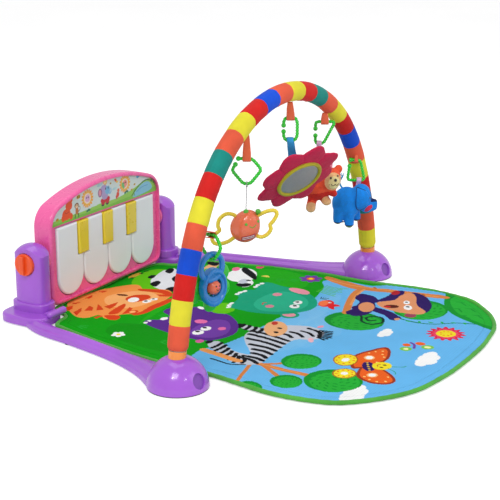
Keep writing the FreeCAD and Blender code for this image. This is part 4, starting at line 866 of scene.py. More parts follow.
# Zebra stripes: start x, y, end x, y, width
ZEBRA_STRIPES = [
    (-206, -66, -194, -30, 6), (-190, -68, -186, -28, 6), (-176, -66, -168, -34, 6),
    (-158, -66, -152, -26, 6), (-140, -64, -134, -10, 6), (-122, -62, -112, 8, 6),
    (-104, -60, -92, 18, 6), (-88, -60, -76, 20, 5), (-218, -44, -196, -34, 5),
    (-222, -30, -192, -22, 5), (-214, -16, -184, -12, 5), (-206, -2, -178, 0, 5),
    (-198, 12, -170, 12, 5), (-190, 26, -160, 24, 5), (-182, 38, -154, 36, 5),
    (-70, -56, -62, -30, 5), (-56, -70, -48, -42, 5), (-42, -84, -34, -56, 4),
    (-26, -90, -16, -60, 4), (-80, 8, -60, 10, 5), (-78, 22, -58, 24, 5),
    (-76, 36, -57, 38, 5), (-72, 50, -56, 51, 6)]


def paint_zebra(art):
    art.blob([(-224, -50), (-204, -70), (-160, -68), (-110, -64), (-74, -68), (-58, -92),
              (-36, -100), (-14, -88), (-6, -62), (-14, -36), (-30, -10), (-60, 4), (-72, 24),
              (-104, 20), (-136, -2), (-160, -24), (-176, -34), (-176, -6), (-160, 26),
              (-150, 46), (-166, 56), (-184, 40), (-200, 6), (-218, -18)], GREY)
    art.blob([(-80, -4), (-60, 2), (-58, 30), (-56, 54), (-70, 58), (-76, 30)], GREY)
    for x0, y0, x1, y1, width in ZEBRA_STRIPES:
        middle = ((x0 + x1) / 2 + 3, (y0 + y1) / 2 - 2)
        art.line([(x0, y0), middle, (x1, y1)], width + 2.5, BLACK)
    for k in range(7):
        art.line([(-44 + 5 * k, -94 + 2 * k), (-50 + 7 * k, -116 + 3 * abs(k - 2))], 5, BLACK)
    art.line([(-222, -52), (-232, -30), (-228, -6), (-224, 14)], 4, BLACK)
    art.ovals((-62, -90, 12, 5, srgb(240, 180, 190), 30), (4, -74, 8, 4, srgb(240, 150, 170), -10),
              (-46, -10, 37, 21, TAN, 28), (-24, 5, 9, 6, srgb(196, 60, 50), 30),
              (-62, -20, 4, 5, BLACK), (-42, -16, 4, 5, BLACK), (-160, 58, 9, 6, BLACK),
              (-63, 58, 9, 5, BLACK))
    art.line([(-212, -34), (-206, 0), (-196, 46)], 14, WOOD_PALE)


def paint_hippos(art):
    # violet
    art.blob([(-164, 96), (-156, 62), (-128, 44), (-96, 42), (-66, 56), (-42, 78), (-26, 104),
              (-30, 132), (-10, 160), (-24, 188), (-42, 214), (-72, 216), (-88, 192),
              (-112, 196), (-126, 214), (-144, 206), (-156, 166), (-164, 128)], PURPLE)
    art.blob([(-150, 90), (-140, 64), (-112, 54), (-80, 64), (-56, 86), (-60, 110),
              (-100, 120), (-140, 112)], PURPLE_PALE)
    art.ovals((-166, 74, 9, 7, srgb(216, 92, 160)), (-93, 74, 8, 7, HIPPO_PINK),
              (-80, 127, 10, 12, HIPPO_PINK, 20))
    eye(art, -131, 100, 12, (0.35, 0.3))
    eye(art, -107, 99, 11, (0.2, 0.35))
    art.oval(-104, 192, 9, 6, WHITE)
    art.oval(-18, 168, 9, 5, WHITE, 60)
    art.dots(((-140, 208), (-128, 208)), 4, 4, WHITE)
    # teal
    art.oval(30, 4, 20, 17, TEAL)
    art.oval(31, 6, 12, 12, PINK)
    art.blob([(8, 112), (6, 66), (20, 26), (52, -2), (88, -14), (122, -4), (150, 22), (166, 58),
              (168, 96), (178, 132), (166, 148), (140, 146), (126, 134), (112, 152), (84, 156),
              (72, 140), (44, 130), (30, 134), (8, 126)], TEAL)
    art.blob([(24, 60), (40, 26), (78, 4), (116, 12), (140, 44), (138, 82), (100, 100),
              (48, 92)], TEAL_PALE)
    art.oval(160, 56, 13, 24, PINK, -12)
    eye(art, 80, 22, 11, (0.3, 0.1))
    eye(art, 102, 27, 10, (0.2, 0.2))
    art.oval(52, 60, 9, 8, srgb(216, 130, 150))
    art.oval(120, 82, 9, 9, srgb(226, 140, 160))
    art.line([(54, 76), (62, 80), (68, 76)], 3, srgb(200, 60, 70))
    art.dots(((10, 124), (20, 129), (31, 131), (86, 152), (97, 152), (108, 148), (140, 143),
              (152, 145), (165, 143)), 6, 4.2, WHITE)


def paint_calves(art):
    art.oval(190, 205, 44, 30, WHITE, 24)
    art.oval(150, 172, 24, 15, WHITE, 20)
    art.blob([(126, 172), (136, 158), (152, 160), (150, 176), (136, 186)], BLACK)
    art.blob([(178, 166), (202, 178), (222, 202), (236, 226), (216, 222), (196, 196)], BLACK)
    art.ovals((158, 182, 14, 9, GREY, 20), (146, 170, 4, 5, BLACK), (168, 176, 4, 5, BLACK),
              (218, 236, 12, 8, srgb(236, 110, 150), 20))
    art.blob([(206, 150), (214, 160), (204, 168)], srgb(230, 210, 90))
    art.blob([(120, 262), (160, 262), (224, 280), (240, 296), (206, 300), (150, 286)], TAN)
    art.blob([(214, 284), (238, 288), (236, 312), (218, 306)], BLACK)
    # the one by the tiger
    art.blob([(30, 276), (56, 268), (86, 286), (112, 306), (146, 332), (156, 350), (130, 356),
              (96, 350), (66, 342), (44, 322), (34, 300)], srgb(226, 230, 236))
    for patch in ([(28, 272), (44, 266), (60, 278), (50, 288), (36, 286)],
                  [(76, 282), (104, 300), (120, 316), (96, 312)],
                  [(42, 314), (66, 318), (72, 330), (50, 332)],
                  [(124, 334), (152, 344), (152, 356), (128, 350)],
                  [(78, 346), (98, 352), (90, 360), (76, 356)]):
        art.blob(patch, BLACK)


TIGER_STRIPES = [
    [(-149, 387), (-134, 379), (-148, 369), (-161, 370)],
    [(-162, 356), (-134, 358), (-150, 347), (-172, 340)],
    [(-145, 344), (-117, 353), (-121, 341), (-137, 331)],
    [(-133, 325), (-102, 345), (-110, 331), (-123, 316)],
    [(-108, 326), (-72, 319), (-94, 310), (-114, 308)],
    [(-131, 297), (-78, 305), (-82, 295), (-124, 280), (-137, 287)],
    [(-129, 270), (-85, 284), (-87, 275), (-115, 264)],
    [(-116, 256), (-95, 251), (-48, 254), (-4, 247), (-12, 236), (-64, 237), (-100, 239),
     (-117, 248)],
    [(-165, 306), (-151, 303), (-150, 295), (-169, 298)],
    [(-148, 295), (-139, 284), (-137, 267), (-154, 262), (-160, 276)],
    [(15, 333), (33, 290), (26, 264), (13, 257), (13, 292), (5, 322)],
    [(3, 285), (18, 261), (8, 252), (-2, 272)],
    [(-86, 388), (-62, 389), (-75, 379), (-85, 380)],
    [(-40, 392), (-28, 376), (-44, 378)],
    [(-124, 392), (-110, 378), (-126, 380)]]


def paint_tiger(art):
    art.blob([(-112, 256), (-70, 244), (-24, 248), (16, 258), (36, 276), (32, 300), (16, 322),
              (32, 348), (12, 374), (-24, 392), (-70, 402), (-120, 400), (-152, 376),
              (-176, 340), (-172, 316), (-150, 306), (-160, 284), (-150, 268), (-132, 272)],
             TIGER)
    art.blob([(-96, 290), (-60, 268), (-10, 270), (8, 300), (-10, 340), (-60, 356),
              (-94, 330)], TIGER_PALE)
    for points in TIGER_STRIPES:
        art.blob(points, STRIPE, curved=len(points) > 4)
    art.blob([(-60, 300), (-40, 284), (-16, 284), (-8, 300), (-24, 318), (-48, 320)], STRIPE)
    art.oval(-46, 303, 14, 10, WHITE, 10)
    eye(art, -40, 276, 10, (0.1, 0.3))
    eye(art, -22, 272, 8, (0.1, 0.3))
    art.ovals((-34, 338, 5, 12, srgb(96, 40, 20), 10), (-104, 262, 12, 9, STRIPE),
              (-104, 263, 7, 5, TIGER_PALE))


def paint_small_things(art):
    art.oval(76, 388, 20, 7, srgb(206, 170, 60))
    art.dots(((60, 384), (92, 384), (110, 384)), 3, 5, BLACK, 30)
    art.oval(254, 200, 12, 8, srgb(226, 60, 110), 10)
    art.ring((-214, 214), (8, 8), 5, 1.257, 5, 5, WHITE)
    art.oval(-214, 214, 4, 4, YELLOW)


def paint_mat(art):
    # the sky drifts in colour towards the -Y edge
    t = np.clip((-art.y - 60) / 300.0, 0, 1)[:, None]
    art.colors = art.colors * (1 - 0.35 * t) + np.array(SKY_FAR) * 0.35 * t
    for part in (paint_meadow_and_sky, paint_corner_leaves, paint_trees, paint_butterflies,
                 paint_flowers_and_fish, paint_monkey, paint_zebra, paint_hippos, paint_calves,
                 paint_tiger, paint_small_things):
        part(art)


# ------------------------------------------------------------------ printed mat
def mat_edge():
    """The outline drawn in a little, so that the raw edge hides inside the piping."""
    tan = np.roll(MAT_OUTLINE, -1, 0) - np.roll(MAT_OUTLINE, 1, 0)
    tan /= np.linalg.norm(tan, axis=1)[:, None]
    x, y = MAT_OUTLINE.T
    area = 0.5 * np.sum(x * np.roll(y, -1) - np.roll(x, -1) * y)
    inward = np.stack([-tan[:, 1], tan[:, 0]], 1) * (1.0 if area > 0 else -1.0)
    return MAT_OUTLINE + inward * 1.2


def build_mat():
    step = 1.45
    grid_x, grid_y = np.meshgrid(np.arange(-306, 306 + step, step),
                                 np.arange(-362, 410 + step, step), indexing="ij")
    edge = mat_edge()
    keep = inside(edge, grid_x.ravel(), grid_y.ravel()).reshape(grid_x.shape)
    cell = keep[:-1, :-1] & keep[1:, :-1] & keep[1:, 1:] & keep[:-1, 1:]
    used = np.zeros(grid_x.shape, bool)
    used[:-1, :-1] |= cell
    used[1:, :-1] |= cell
    used[1:, 1:] |= cell
    used[:-1, 1:] |= cell
    index = -np.ones(grid_x.shape, int)
    index[used] = np.arange(used.sum())
    x, y = grid_x[used], grid_y[used]
    n = len(x)
    # distance to the edge, in blocks to spare memory
    dist = np.full(n, 1e9)
    edge_samples = edge[::2]
    for k in range(0, n, 20000):
        block = slice(k, k + 20000)
        dist[block] = np.sqrt(((x[block][:, None] - edge_samples[None, :, 0]) ** 2
                               + (y[block][:, None] - edge_samples[None, :, 1]) ** 2).min(1))
    flat = np.stack([x, y, np.zeros_like(x)], 1) * MM
    px, py, pz = flat.T
    z = 6.2 + 1.15 * layered_noise(flat, 11.0, 21, 2) + 0.42 * layered_noise(flat, 34.0, 4, 2)
    # shallow drag lines towards the edges
    drag = value_noise(np.stack([px * 6 + py * 20, py * 30 - px * 8, pz], 1), 1.0, 31)
    z += 0.55 * drag * np.clip(1 - dist / 160.0, 0, 1)
    # puckers at the edge, and its rounded fall
    pucker = value_noise(np.stack([px * 75, py * 75, pz], 1), 1.0, 51) * np.exp(-dist / 9.0)
    z += 0.5 * pucker
    z -= 2.6 * np.exp(-dist / 5.0)
    # one sewn line all round, 17 mm in
    sewn = np.exp(-((dist - 17.0) / 1.1) ** 2)
    z -= 0.7 * sewn
    z = np.clip(z, 2.0, 9.5)
    art = Paint(x, y, SKY)
    paint_mat(art)
    art.colors[sewn > 0.75] *= 0.8

    inner = np.nonzero(cell)
    top = np.stack([index[:-1, :-1][inner], index[1:, :-1][inner], index[1:, 1:][inner],
                    index[:-1, 1:][inner]], 1)
    # edges used by one face only make the border, closed with a wall and a base
    edges = np.concatenate([top[:, [0, 1]], top[:, [1, 2]], top[:, [2, 3]], top[:, [3, 0]]])
    key = np.minimum(edges[:, 0], edges[:, 1]) * (n + 1) + np.maximum(edges[:, 0], edges[:, 1])
    _, first, uses = np.unique(key, return_index=True, return_counts=True)
    border = edges[first[uses == 1]]
    ring = np.unique(border)
    low = {v: n + k for k, v in enumerate(ring)}
    base_z = 0.6
    base = np.stack([x[ring], y[ring], np.full(len(ring), base_z)], 1)
    verts = np.concatenate([np.stack([x, y, z], 1), base]) * MM
    faces = [tuple(quad) for quad in top.tolist()]
    for v0, v1 in border.tolist():
        faces.append((v1, v0, low[v0], low[v1]))
    following = {int(v0): int(v1) for v0, v1 in border.tolist()}
    start = int(border[0][0])
    base_loop, current = [], start
    for _ in range(len(following) + 2):
        base_loop.append(low[current])
        current = following[current]
        if current == start:
            break
    faces.append(tuple(base_loop[::-1]))
    face_mat = np.zeros(len(faces), np.int32)
    face_mat[-1] = 1
    ob = new_object("printed_mat", verts, faces, [MAT["mat_print"], MAT["mat_backing"]],
                    face_mat=face_mat, uv=(verts[:, :2] + 0.5))
    add_print(ob, art, FABRICS["mat_backing"][0])
    hand_over(ob, "base", "mat")


def add_print(ob, art, back_color):
    """Store painted colours on the first vertices and a plain colour on the rest."""
    layer = ob.data.color_attributes.new("Print", "FLOAT_COLOR", "POINT")
    colors = np.ones((len(ob.data.vertices), 4), np.float32)
    painted = len(art.x)
    colors[:painted, :3] = art.colors
    colors[painted:, :3] = srgb(*back_color)
    layer.data.foreach_set("color", colors.ravel())


build_mat()


def build_piping():
    height = 4.3
    outline = np.column_stack([MAT_OUTLINE, np.full(len(MAT_OUTLINE), height)])
    lengths = np.linalg.norm(np.roll(outline, -1, 0) - outline, axis=1)
    along = np.concatenate([[0], np.cumsum(lengths)])
    closed = np.vstack([outline, outline[:1]])
    t = np.linspace(0, along[-1], 900, endpoint=False)
    path = np.stack([np.interp(t, along, closed[:, k]) for k in range(3)], 1)
    path[:, 2] += 0.5 * value_noise(path * MM, 22.0, 8)
    radius = 3.7 + 0.22 * value_noise(path * MM, 160.0, 2) + 0.12 * np.sin(t / 3.5)
    ob = tube(path, radius, "piping_binding", "mat_edge_piping", closed=True, seg=14,
              up=(0, 0, 1))
    hand_over(ob, "base", "mat_piping")


build_piping()


# ------------------------------------------------------------------ frame of the hanging toys
def unit(v):
    v = np.asarray(v, float)
    return v / np.linalg.norm(v)


# Sideways across a toy, out of its face, and up
SIDE = np.array([0.516, -0.857, 0.0])
FACE = np.array([SIDE[1], -SIDE[0], 0.0])
UP = np.array([0, 0, 1.0])
TOY_AXES = [SIDE, FACE, UP]
TOWARDS_FRONT = np.array([0, -1.0, 0])
# Where each toy's link hangs in its tape loop, mm
HINGE = {"bug": np.array((-129.0, 0, 332)), "flower": np.array((19.0, 0, 377)),
         "bear": np.array((148.0, 0, 348)), "elephant": np.array((257.7, -11.6, 256.3)),
         "rattle": np.array((-240.0, 0, 227))}


def at(origin, across=0.0, up=0.0, out=0.0, side=SIDE):
    return np.asarray(origin, float) + side * across + UP * up + FACE * out


def local(points, origin):
    """Distances across, out and up from the origin."""
    d = points - origin
    return d @ SIDE, d @ FACE, d[:, 2]


def join(name, obs):
    """One object from several, keeping each one's material."""
    materials, verts, faces, face_mat, smooth, base = [], [], [], [], [], 0
    for o in obs:
        mesh = o.data
        co = np.zeros(len(mesh.vertices) * 3, np.float64)
        mesh.vertices.foreach_get("co", co)
        placing = np.array(o.matrix_world)
        verts.append(co.reshape(-1, 3) @ placing[:3, :3].T + placing[:3, 3])
        for m in mesh.materials:
            if m not in materials:
                materials.append(m)
        for p in mesh.polygons:
            faces.append([base + v for v in p.vertices])
            face_mat.append(materials.index(mesh.materials[p.material_index]))
            smooth.append(p.use_smooth)
        base += len(mesh.vertices)
    out = new_object(name, np.concatenate(verts), faces, materials, face_mat=face_mat)
    out.data.polygons.foreach_set("use_smooth", np.array(smooth, bool))
    for o in obs:
        mesh = o.data
        bpy.data.objects.remove(o)
        bpy.data.meshes.remove(mesh)
    return out


def strip(path, wide_dir, widths, thick, material, name="part", bulge=0.0):
    """A woven tape along path (mm): rounded edges, even thickness."""
    path = np.asarray(path, float)
    n = len(path)
    widths = np.full(n, float(widths)) if np.isscalar(widths) else np.asarray(widths, float)
    tan = np.gradient(path, axis=0)
    tan /= np.linalg.norm(tan, axis=1)[:, None]
    wide = np.tile(np.asarray(wide_dir, float), (n, 1))
    wide = wide - tan * (wide * tan).sum(1)[:, None]
    wide /= np.linalg.norm(wide, axis=1)[:, None]
    normal = np.cross(tan, wide)
    k = 9
    section = []
    for sign in (1, -1):
        for i in range(k):
            u = sign * (-1 + 2 * i / (k - 1))
            section.append((u, sign * 0.5 * (1 - 0.55 * abs(u) ** 8)))
    section = np.array(section)
    m = len(section)
    uneven = 1 + 0.05 * value_noise(path * 0.001, 220.0, 5)
    points = (path[:, None, :]
              + wide[:, None, :] * (section[None, :, 0] * (widths * uneven)[:, None] / 2)[:, :, None]
              + normal[:, None, :] * (section[None, :, 1] * thick
                                      + bulge * (1 - section[None, :, 0] ** 2))[:, :, None])
    ribs = 0.12 * np.sin(np.arange(n) * 2.4)[:, None] * np.sign(section[:, 1])[None, :]
    points = points + normal[:, None, :] * ribs[:, :, None] * 0.3
    faces = grid(points, wrap_v=True)
    faces.append(tuple(range(m))[::-1])
    faces.append(tuple((n - 1) * m + j for j in range(m)))
    return fix_normals(new_object(name, points.reshape(-1, 3) * MM, faces, [MAT[material]]))


# ------------------------------------------------------------------ tape loops on the sleeve
# toy, top of the loop (mm), width direction, width at the link, width at the top
TAPE_LOOPS = [("bug", (-129, 0, 372), SIDE, 14, 8), ("flower", (17, 0, 404), SIDE, 14, 9),
              ("bear", (148, 0, 364), SIDE, 14, 9),
              ("elephant", (255.99, -12.63, 267.0), SIDE, 7, 5),
              ("rattle", (-268, 0, 235.5), TOWARDS_FRONT, 14, 9)]


def tape_loop(top, hinge, axis, wide, top_wide):
    top, axis = np.asarray(top, float), unit(axis)
    down = unit(hinge - top)
    side = np.cross(axis, down)
    radius = 4.2 + 0.7
    length = np.linalg.norm(hinge - top)
    steps = 16
    points, widths = [], []

    def add_leg(i, sign):
        t = i / steps
        apart = radius * (0.72 + 0.28 * t) + 0.5 * math.sin(math.pi * t)
        points.append(top + down * length * t + sign * side * apart)
        widths.append(top_wide + (wide - top_wide) * min(1, t * 1.3) ** 0.8)

    for i in range(steps):
        add_leg(i, 1)
    for i in range(17):
        a = math.pi * i / 16
        points.append(hinge + side * radius * math.cos(a) + down * radius * math.sin(a))
        widths.append(wide)
    for i in range(steps, -1, -1):
        add_leg(i, -1)
    return strip(points, axis, widths, thick=1.4, material="loop_tape")


hand_over(join("hanging_tape_loops",
               [tape_loop(top, HINGE[toy], *rest) for toy, top, *rest in TAPE_LOOPS]),
          "base", "hanging_loops")

# ------------------------------------------------------------------ links
# toy: sideways direction, and the rod's corners as (across, up) from the hinge, mm
LINKS = {
    "bug": (SIDE, [(-14, 0), (9, 0), (25, -19), (6, -43), (-6, -43), (-25, -20), (-19, -10)]),
    "flower": (SIDE, [(-12, -14), (-12, -7), (-8, 0), (8, 0), (12, -8), (12, -33), (7.5, -41),
                      (-7.5, -41), (-12, -34), (-12, -25)]),
    "bear": (SIDE, [(-17, -13), (-17, 0), (19, 0), (-2, -41), (-17, -41), (-17, -26)]),
    "elephant": (SIDE, [(-10, 0), (8, 0), (17, -40), (-16, -40), (-12.5, -12)]),
    "rattle": (TOWARDS_FRONT, [(-13, 0), (9, 0), (19, -20), (6, -41), (-6, -41), (-20, -21),
                               (-18, -11)]),
}
ROD_RADIUS = 2.75
END_BALL_RADIUS = 4.3
CORNER_CUT = 7.0


def round_corners(points, cut):
    """Points with each corner turned into a short curve."""
    out = [points[0]]
    for a, b, c in zip(points, points[1:], points[2:]):
        u, v = a - b, c - b
        d = min(cut, np.linalg.norm(u) * 0.48, np.linalg.norm(v) * 0.48)
        p, q = b + unit(u) * d, b + unit(v) * d
        for k in range(9):
            t = k / 8
            out.append((1 - t) ** 2 * p + 2 * t * (1 - t) * b + t * t * q)
    out.append(points[-1])
    return np.array(out)


def resample(path, step):
    """Evenly spaced points along a path, and their distances along it."""
    s = np.concatenate([[0], np.cumsum(np.linalg.norm(np.diff(path, axis=0), axis=1))])
    t = np.linspace(0, s[-1], max(4, int(s[-1] / step)))
    return np.stack([np.interp(t, s, path[:, k]) for k in range(3)], 1), t


def build_link(toy, side, corners):
    """A beaded open ring with a ball on each end."""
    points = round_corners([at(HINGE[toy], a, z, side=side) for a, z in corners], CORNER_CUT)
    path, t = resample(points, 0.5)
    ends = np.minimum(t, t[-1] - t)
    beaded = np.clip((ends - 4.0) / 3.0, 0, 1)
    beads = 0.55 * np.clip(np.sin(2 * np.pi * t / 5.2), -0.25, 1) * beaded
    parts = [tube(path, ROD_RADIUS + beads, "link_plastic", seg=18)]
    parts += [ball(p, END_BALL_RADIUS, "link_plastic", sub=3) for p in (points[0], points[-1])]
    hand_over(join(toy + "_ring_rod", parts), toy + "_ring", toy + "_link")


for toy, (side, corners) in LINKS.items():
    build_link(toy, side, corners)


# ------------------------------------------------------------------ soft bodies
def bake(ob):
    """Replace the object's mesh with the result of its modifiers."""
    deps = bpy.context.evaluated_depsgraph_get()
    deps.update()
    evaluated = ob.evaluated_get(deps)
    mesh = bpy.data.meshes.new_from_object(evaluated, preserve_all_data_layers=True,
                                           depsgraph=deps)
    old = ob.data
    ob.modifiers.clear()
    ob.data = mesh
    bpy.data.meshes.remove(old)


def remesh(ob, voxel, smoothing):
    bpy.context.view_layer.update()
    skin = ob.modifiers.new("remesh", "REMESH")
    skin.mode = "VOXEL"
    skin.voxel_size = voxel * MM
    skin.use_smooth_shade = True
    relax = ob.modifiers.new("smooth", "SMOOTH")
    relax.factor = 0.5
    relax.iterations = smoothing
    bake(ob)


def coords(ob):
    co = np.zeros(len(ob.data.vertices) * 3)
    ob.data.vertices.foreach_get("co", co)
    return co.reshape(-1, 3)


def set_coords(ob, co):
    ob.data.vertices.foreach_set("co", np.ascontiguousarray(co, dtype=np.float64).ravel())
    ob.data.update()


def normals(ob):
    no = np.zeros(len(ob.data.vertices) * 3)
    ob.data.vertex_normals.foreach_get("vector", no)
    return no.reshape(-1, 3)


def inflate(ob, pressure=2.0, frames=14, cap=1.6, stiffness=8.0):
    """Stuff a closed form by a short Cloth run under pressure, moving no point over cap mm."""
    rest = coords(ob)
    cloth = ob.modifiers.new("cloth", "CLOTH")
    settings = cloth.settings
    settings.quality = 5
    settings.mass = 0.25
    settings.use_pressure = True
    settings.uniform_pressure_force = pressure
    settings.tension_stiffness = stiffness
    settings.compression_stiffness = stiffness
    settings.shear_stiffness = stiffness * 0.6
    settings.bending_stiffness = 0.6
    settings.shrink_min = -0.04
    settings.effector_weights.gravity = 0.0
    cloth.collision_settings.use_collision = False
    scene = bpy.context.scene
    scene.frame_start, scene.frame_end = 1, frames
    cloth.point_cache.frame_start, cloth.point_cache.frame_end = 1, frames
    for f in range(1, frames + 1):
        scene.frame_set(f)
    evaluated = ob.evaluated_get(bpy.context.evaluated_depsgraph_get())
    now = np.zeros(len(rest) * 3)
    evaluated.data.vertices.foreach_get("co", now)
    ob.modifiers.clear()
    scene.frame_set(1)
    move = now.reshape(-1, 3) - rest
    length = np.linalg.norm(move, axis=1)
    # a point the solver lost stays where it was
    lost = ~np.isfinite(length)
    move[lost] = 0
    length[lost] = 0
    limit = np.where(length > cap * MM, cap * MM / np.maximum(length, 1e-12), 1.0)
    set_coords(ob, rest + move * limit[:, None])


def soften(ob, amp, scale, seed):
    """Uneven stuffing: push the surface in and out by up to about amp mm."""
    co = coords(ob)
    set_coords(ob, co + normals(ob) * (amp * MM * layered_noise(co, scale, seed, 3))[:, None])


def paint_faces(ob, rules, materials):
    """Give faces a material by their centre; rules are (mask function in mm, slot index)."""
    ob.data.materials.clear()
    for name in materials:
        ob.data.materials.append(MAT[name])
    centres = np.zeros(len(ob.data.polygons) * 3)
    ob.data.polygons.foreach_get("center", centres)
    centres = centres.reshape(-1, 3) * MM_PER_M
    index = np.zeros(len(centres), np.int32)
    for mask, slot in rules:
        index[mask(centres)] = slot
    ob.data.polygons.foreach_set("material_index", index)
    shade_smooth(ob)


def bar(p, q, r0, r1, material, seg=20):
    """A round-ended limb from p (radius r0) to q (radius r1), mm."""
    p, q = np.asarray(p, float), np.asarray(q, float)
    length = np.linalg.norm(q - p)
    d = (q - p) / length
    points, radii = [], []
    for k in range(6):
        a = math.pi / 2 * k / 6
        points.append(p - d * r0 * math.cos(a))
        radii.append(max(r0 * math.sin(a), 0.02))
    for u in np.linspace(0, 1, 9):
        points.append(p + d * length * u)
        radii.append(r0 + (r1 - r0) * u)
    for k in range(5, -1, -1):
        a = math.pi / 2 * k / 6
        points.append(q + d * r1 * math.cos(a))
        radii.append(max(r1 * math.sin(a), 0.02))
    return tube(points, np.array(radii), material, seg=seg)


def spot(point, normal, radius, material, thick):
    """A small round spot on a surface: a flattened ball."""
    n = unit(normal)
    s = unit(np.cross(n, [0.1, 0.3, 1.0]))
    return ball(point, (radius, radius, thick), material, axes=[s, np.cross(n, s), n], sub=3)


def stuffed_body(name, origin, forms, material, voxel, smoothing):
    """Balls and limbs merged into one stuffed skin.

    forms are (centre, radii) or (start, end, start radius, end radius), where a place is
    (across, up, out) from the origin.
    """
    parts = []
    for form in forms:
        if len(form) == 2:
            parts.append(ball(at(origin, *form[0]), form[1], material, axes=TOY_AXES))
        else:
            parts.append(bar(at(origin, *form[0]), at(origin, *form[1]), *form[2:], material))
    ob = join(name, parts)
    remesh(ob, voxel, smoothing)
    inflate(ob)
    finer = ob.modifiers.new("finer", "SUBSURF")
    finer.levels = finer.render_levels = 1
    bake(ob)
    return ob


def ray_caster(ob):
    """A function giving the point (mm) and normal where a ray meets the object."""
    tree = BVHTree.FromObject(ob, bpy.context.evaluated_depsgraph_get())

    def cast(start, direction):
        place, normal, _, _ = tree.ray_cast(Vector(start * MM), Vector(direction))
        if place is None:
            return None, None
        return np.array(place) * MM_PER_M, np.array(normal)

    return cast


def on_front(cast, origin, fallback, across, up, lift, face=1):
    """Surface point seen from the front (face=1) or back (-1), lifted off by lift mm."""
    place, normal = cast(at(origin, across, up, 60 * face), -FACE * face)
    if place is None:
        return at(origin, across, up, fallback * face), FACE * face
    return place + normal * lift, normal


# ------------------------------------------------------------------ bug rattle
BUG = np.array([-131.0, 1.0, 216.0])
BUG_HALF_WIDTH, BUG_HALF_HEIGHT, BUG_HALF_DEPTH = 24.6, 29.0, 20.0
BUG_UP = unit(SIDE * 0.42 + UP * 0.907)
BUG_SIDE = unit(SIDE * 0.907 - UP * 0.42)


def bug_surface(across, up, lift=0.0):
    """Point and normal on the bug's front."""
    d = SIDE * across + UP * up
    u, v = d @ BUG_SIDE, d @ BUG_UP
    w = v / BUG_HALF_HEIGHT
    half_width = BUG_HALF_WIDTH * (1 - 0.10 * w)
    out = BUG_HALF_DEPTH * math.sqrt(max(0.0, 1 - (u / half_width) ** 2 - w * w))
    normal = unit(BUG_SIDE * u / half_width ** 2 + BUG_UP * v / BUG_HALF_HEIGHT ** 2
                  + FACE * out / BUG_HALF_DEPTH ** 2)
    return BUG + d + FACE * (out + lift), normal


def build_bug_body():
    # starts as a sphere of one metre, so its coordinates serve as shares of the half sizes
    body = ball((0, 0, 0), 1000, "coral_plastic", "bug_egg", sub=6)
    u, n, w = coords(body).T
    seam = np.exp(-(n / 0.035) ** 2) * np.sqrt(np.clip(u * u + w * w, 0, 1))
    k = 1 - 0.018 * seam
    points = (BUG + BUG_SIDE * (u * BUG_HALF_WIDTH * (1 - 0.10 * w) * k)[:, None]
              + BUG_UP * (w * BUG_HALF_HEIGHT * k)[:, None] + FACE * (n * BUG_HALF_DEPTH)[:, None])
    set_coords(body, points * MM)
    fix_normals(body)
    hand_over(body, "bug", "bug_body")


def bug_patch():
    """A red patch with two white stripes, low on the front."""
    nu, nv = 26, 16
    patch = []
    for i in range(nu):
        row = []
        for j in range(nv):
            a = -7.5 + 24 * i / (nu - 1)
            z = -21.0 + 9.0 * j / (nv - 1) + 0.22 * (a - 4)
            p, normal = bug_surface(a, z)
            edge = max(abs(i / (nu - 1) - .5), abs(j / (nv - 1) - .5)) * 2
            row.append(p + normal * (0.42 if edge < 0.98 else -0.25))
        patch.append(row)
    patch = np.array(patch)
    face_mat = []
    for i in range(nu - 1):
        for j in range(nv - 1):
            u, v = (i + .5) / (nu - 1) * 2 - 1, (j + .5) / (nv - 1) * 2 - 1
            face_mat.append(int(abs(abs(v) - 0.34) < 0.15 and abs(u) < 0.82 and abs(v) <= 0.82))
    return new_object("part", patch.reshape(-1, 3) * MM, grid(patch),
                      [MAT["patch_red"], MAT["white_plastic"]], face_mat=face_mat)


def build_bug_face():
    parts = [spot(*bug_surface(a, z, 0.1), 2.5, "feeler_plastic", 1.3)
             for a, z in ((1.0, 7.4), (21.0, 10.2))]
    smile = [bug_surface(6.6 + 10.6 * t, 5.0 + 0.9 * t - 4.0 * math.sin(math.pi * t), 0.15)[0]
             for t in np.linspace(0, 1, 14)]
    parts.append(tube(smile, 0.62, "feeler_plastic", seg=8))
    parts.append(bug_patch())
    hand_over(join("bug_face", parts), "bug")


def build_bug_feelers():
    parts = []
    for a, z in ((0.6, 26.0), (20.8, 26.6)):
        knob = BUG + SIDE * a + UP * z + FACE * 5.0
        parts.append(ball(knob, (4.7, 4.7, 4.3), "feeler_plastic"))
        root, _ = bug_surface(a * 0.9, 20.0, -3)
        parts.append(bar(root, knob, 2.0, 1.8, "feeler_plastic"))
    hand_over(join("bug_feeler_knobs", parts), "bug", "bug_feelers")


# Wing centre lines, (across, up) from the bug's centre, mm
BUG_WINGS = [
    [(-8, 8), (-20, 19), (-33, 20.5), (-44, 12), (-47, 0), (-44.5, -8), (-51, -14), (-57, -22),
     (-53, -30.5), (-42, -31.5), (-27, -26), (-10, -12)],
    [(10, 10), (24, 20), (38, 26), (49, 26.5), (52.5, 20), (47, 9), (41.5, 2), (42.5, -6),
     (37, -14.5), (26, -19.5), (10, -14)]]


def build_bug_wings():
    wings = []
    for points in BUG_WINGS:
        path, t = resample(smooth_path([BUG + SIDE * a + UP * z for a, z in points], per=14),
                           0.55)
        ridged = 3.35 + 0.2 * np.sin(2 * np.pi * t / 3.6)
        wings.append(tube(path, ridged, "wing_plastic", seg=20))
    hand_over(join("bug_wing_rings", wings), "bug", "bug_wings")


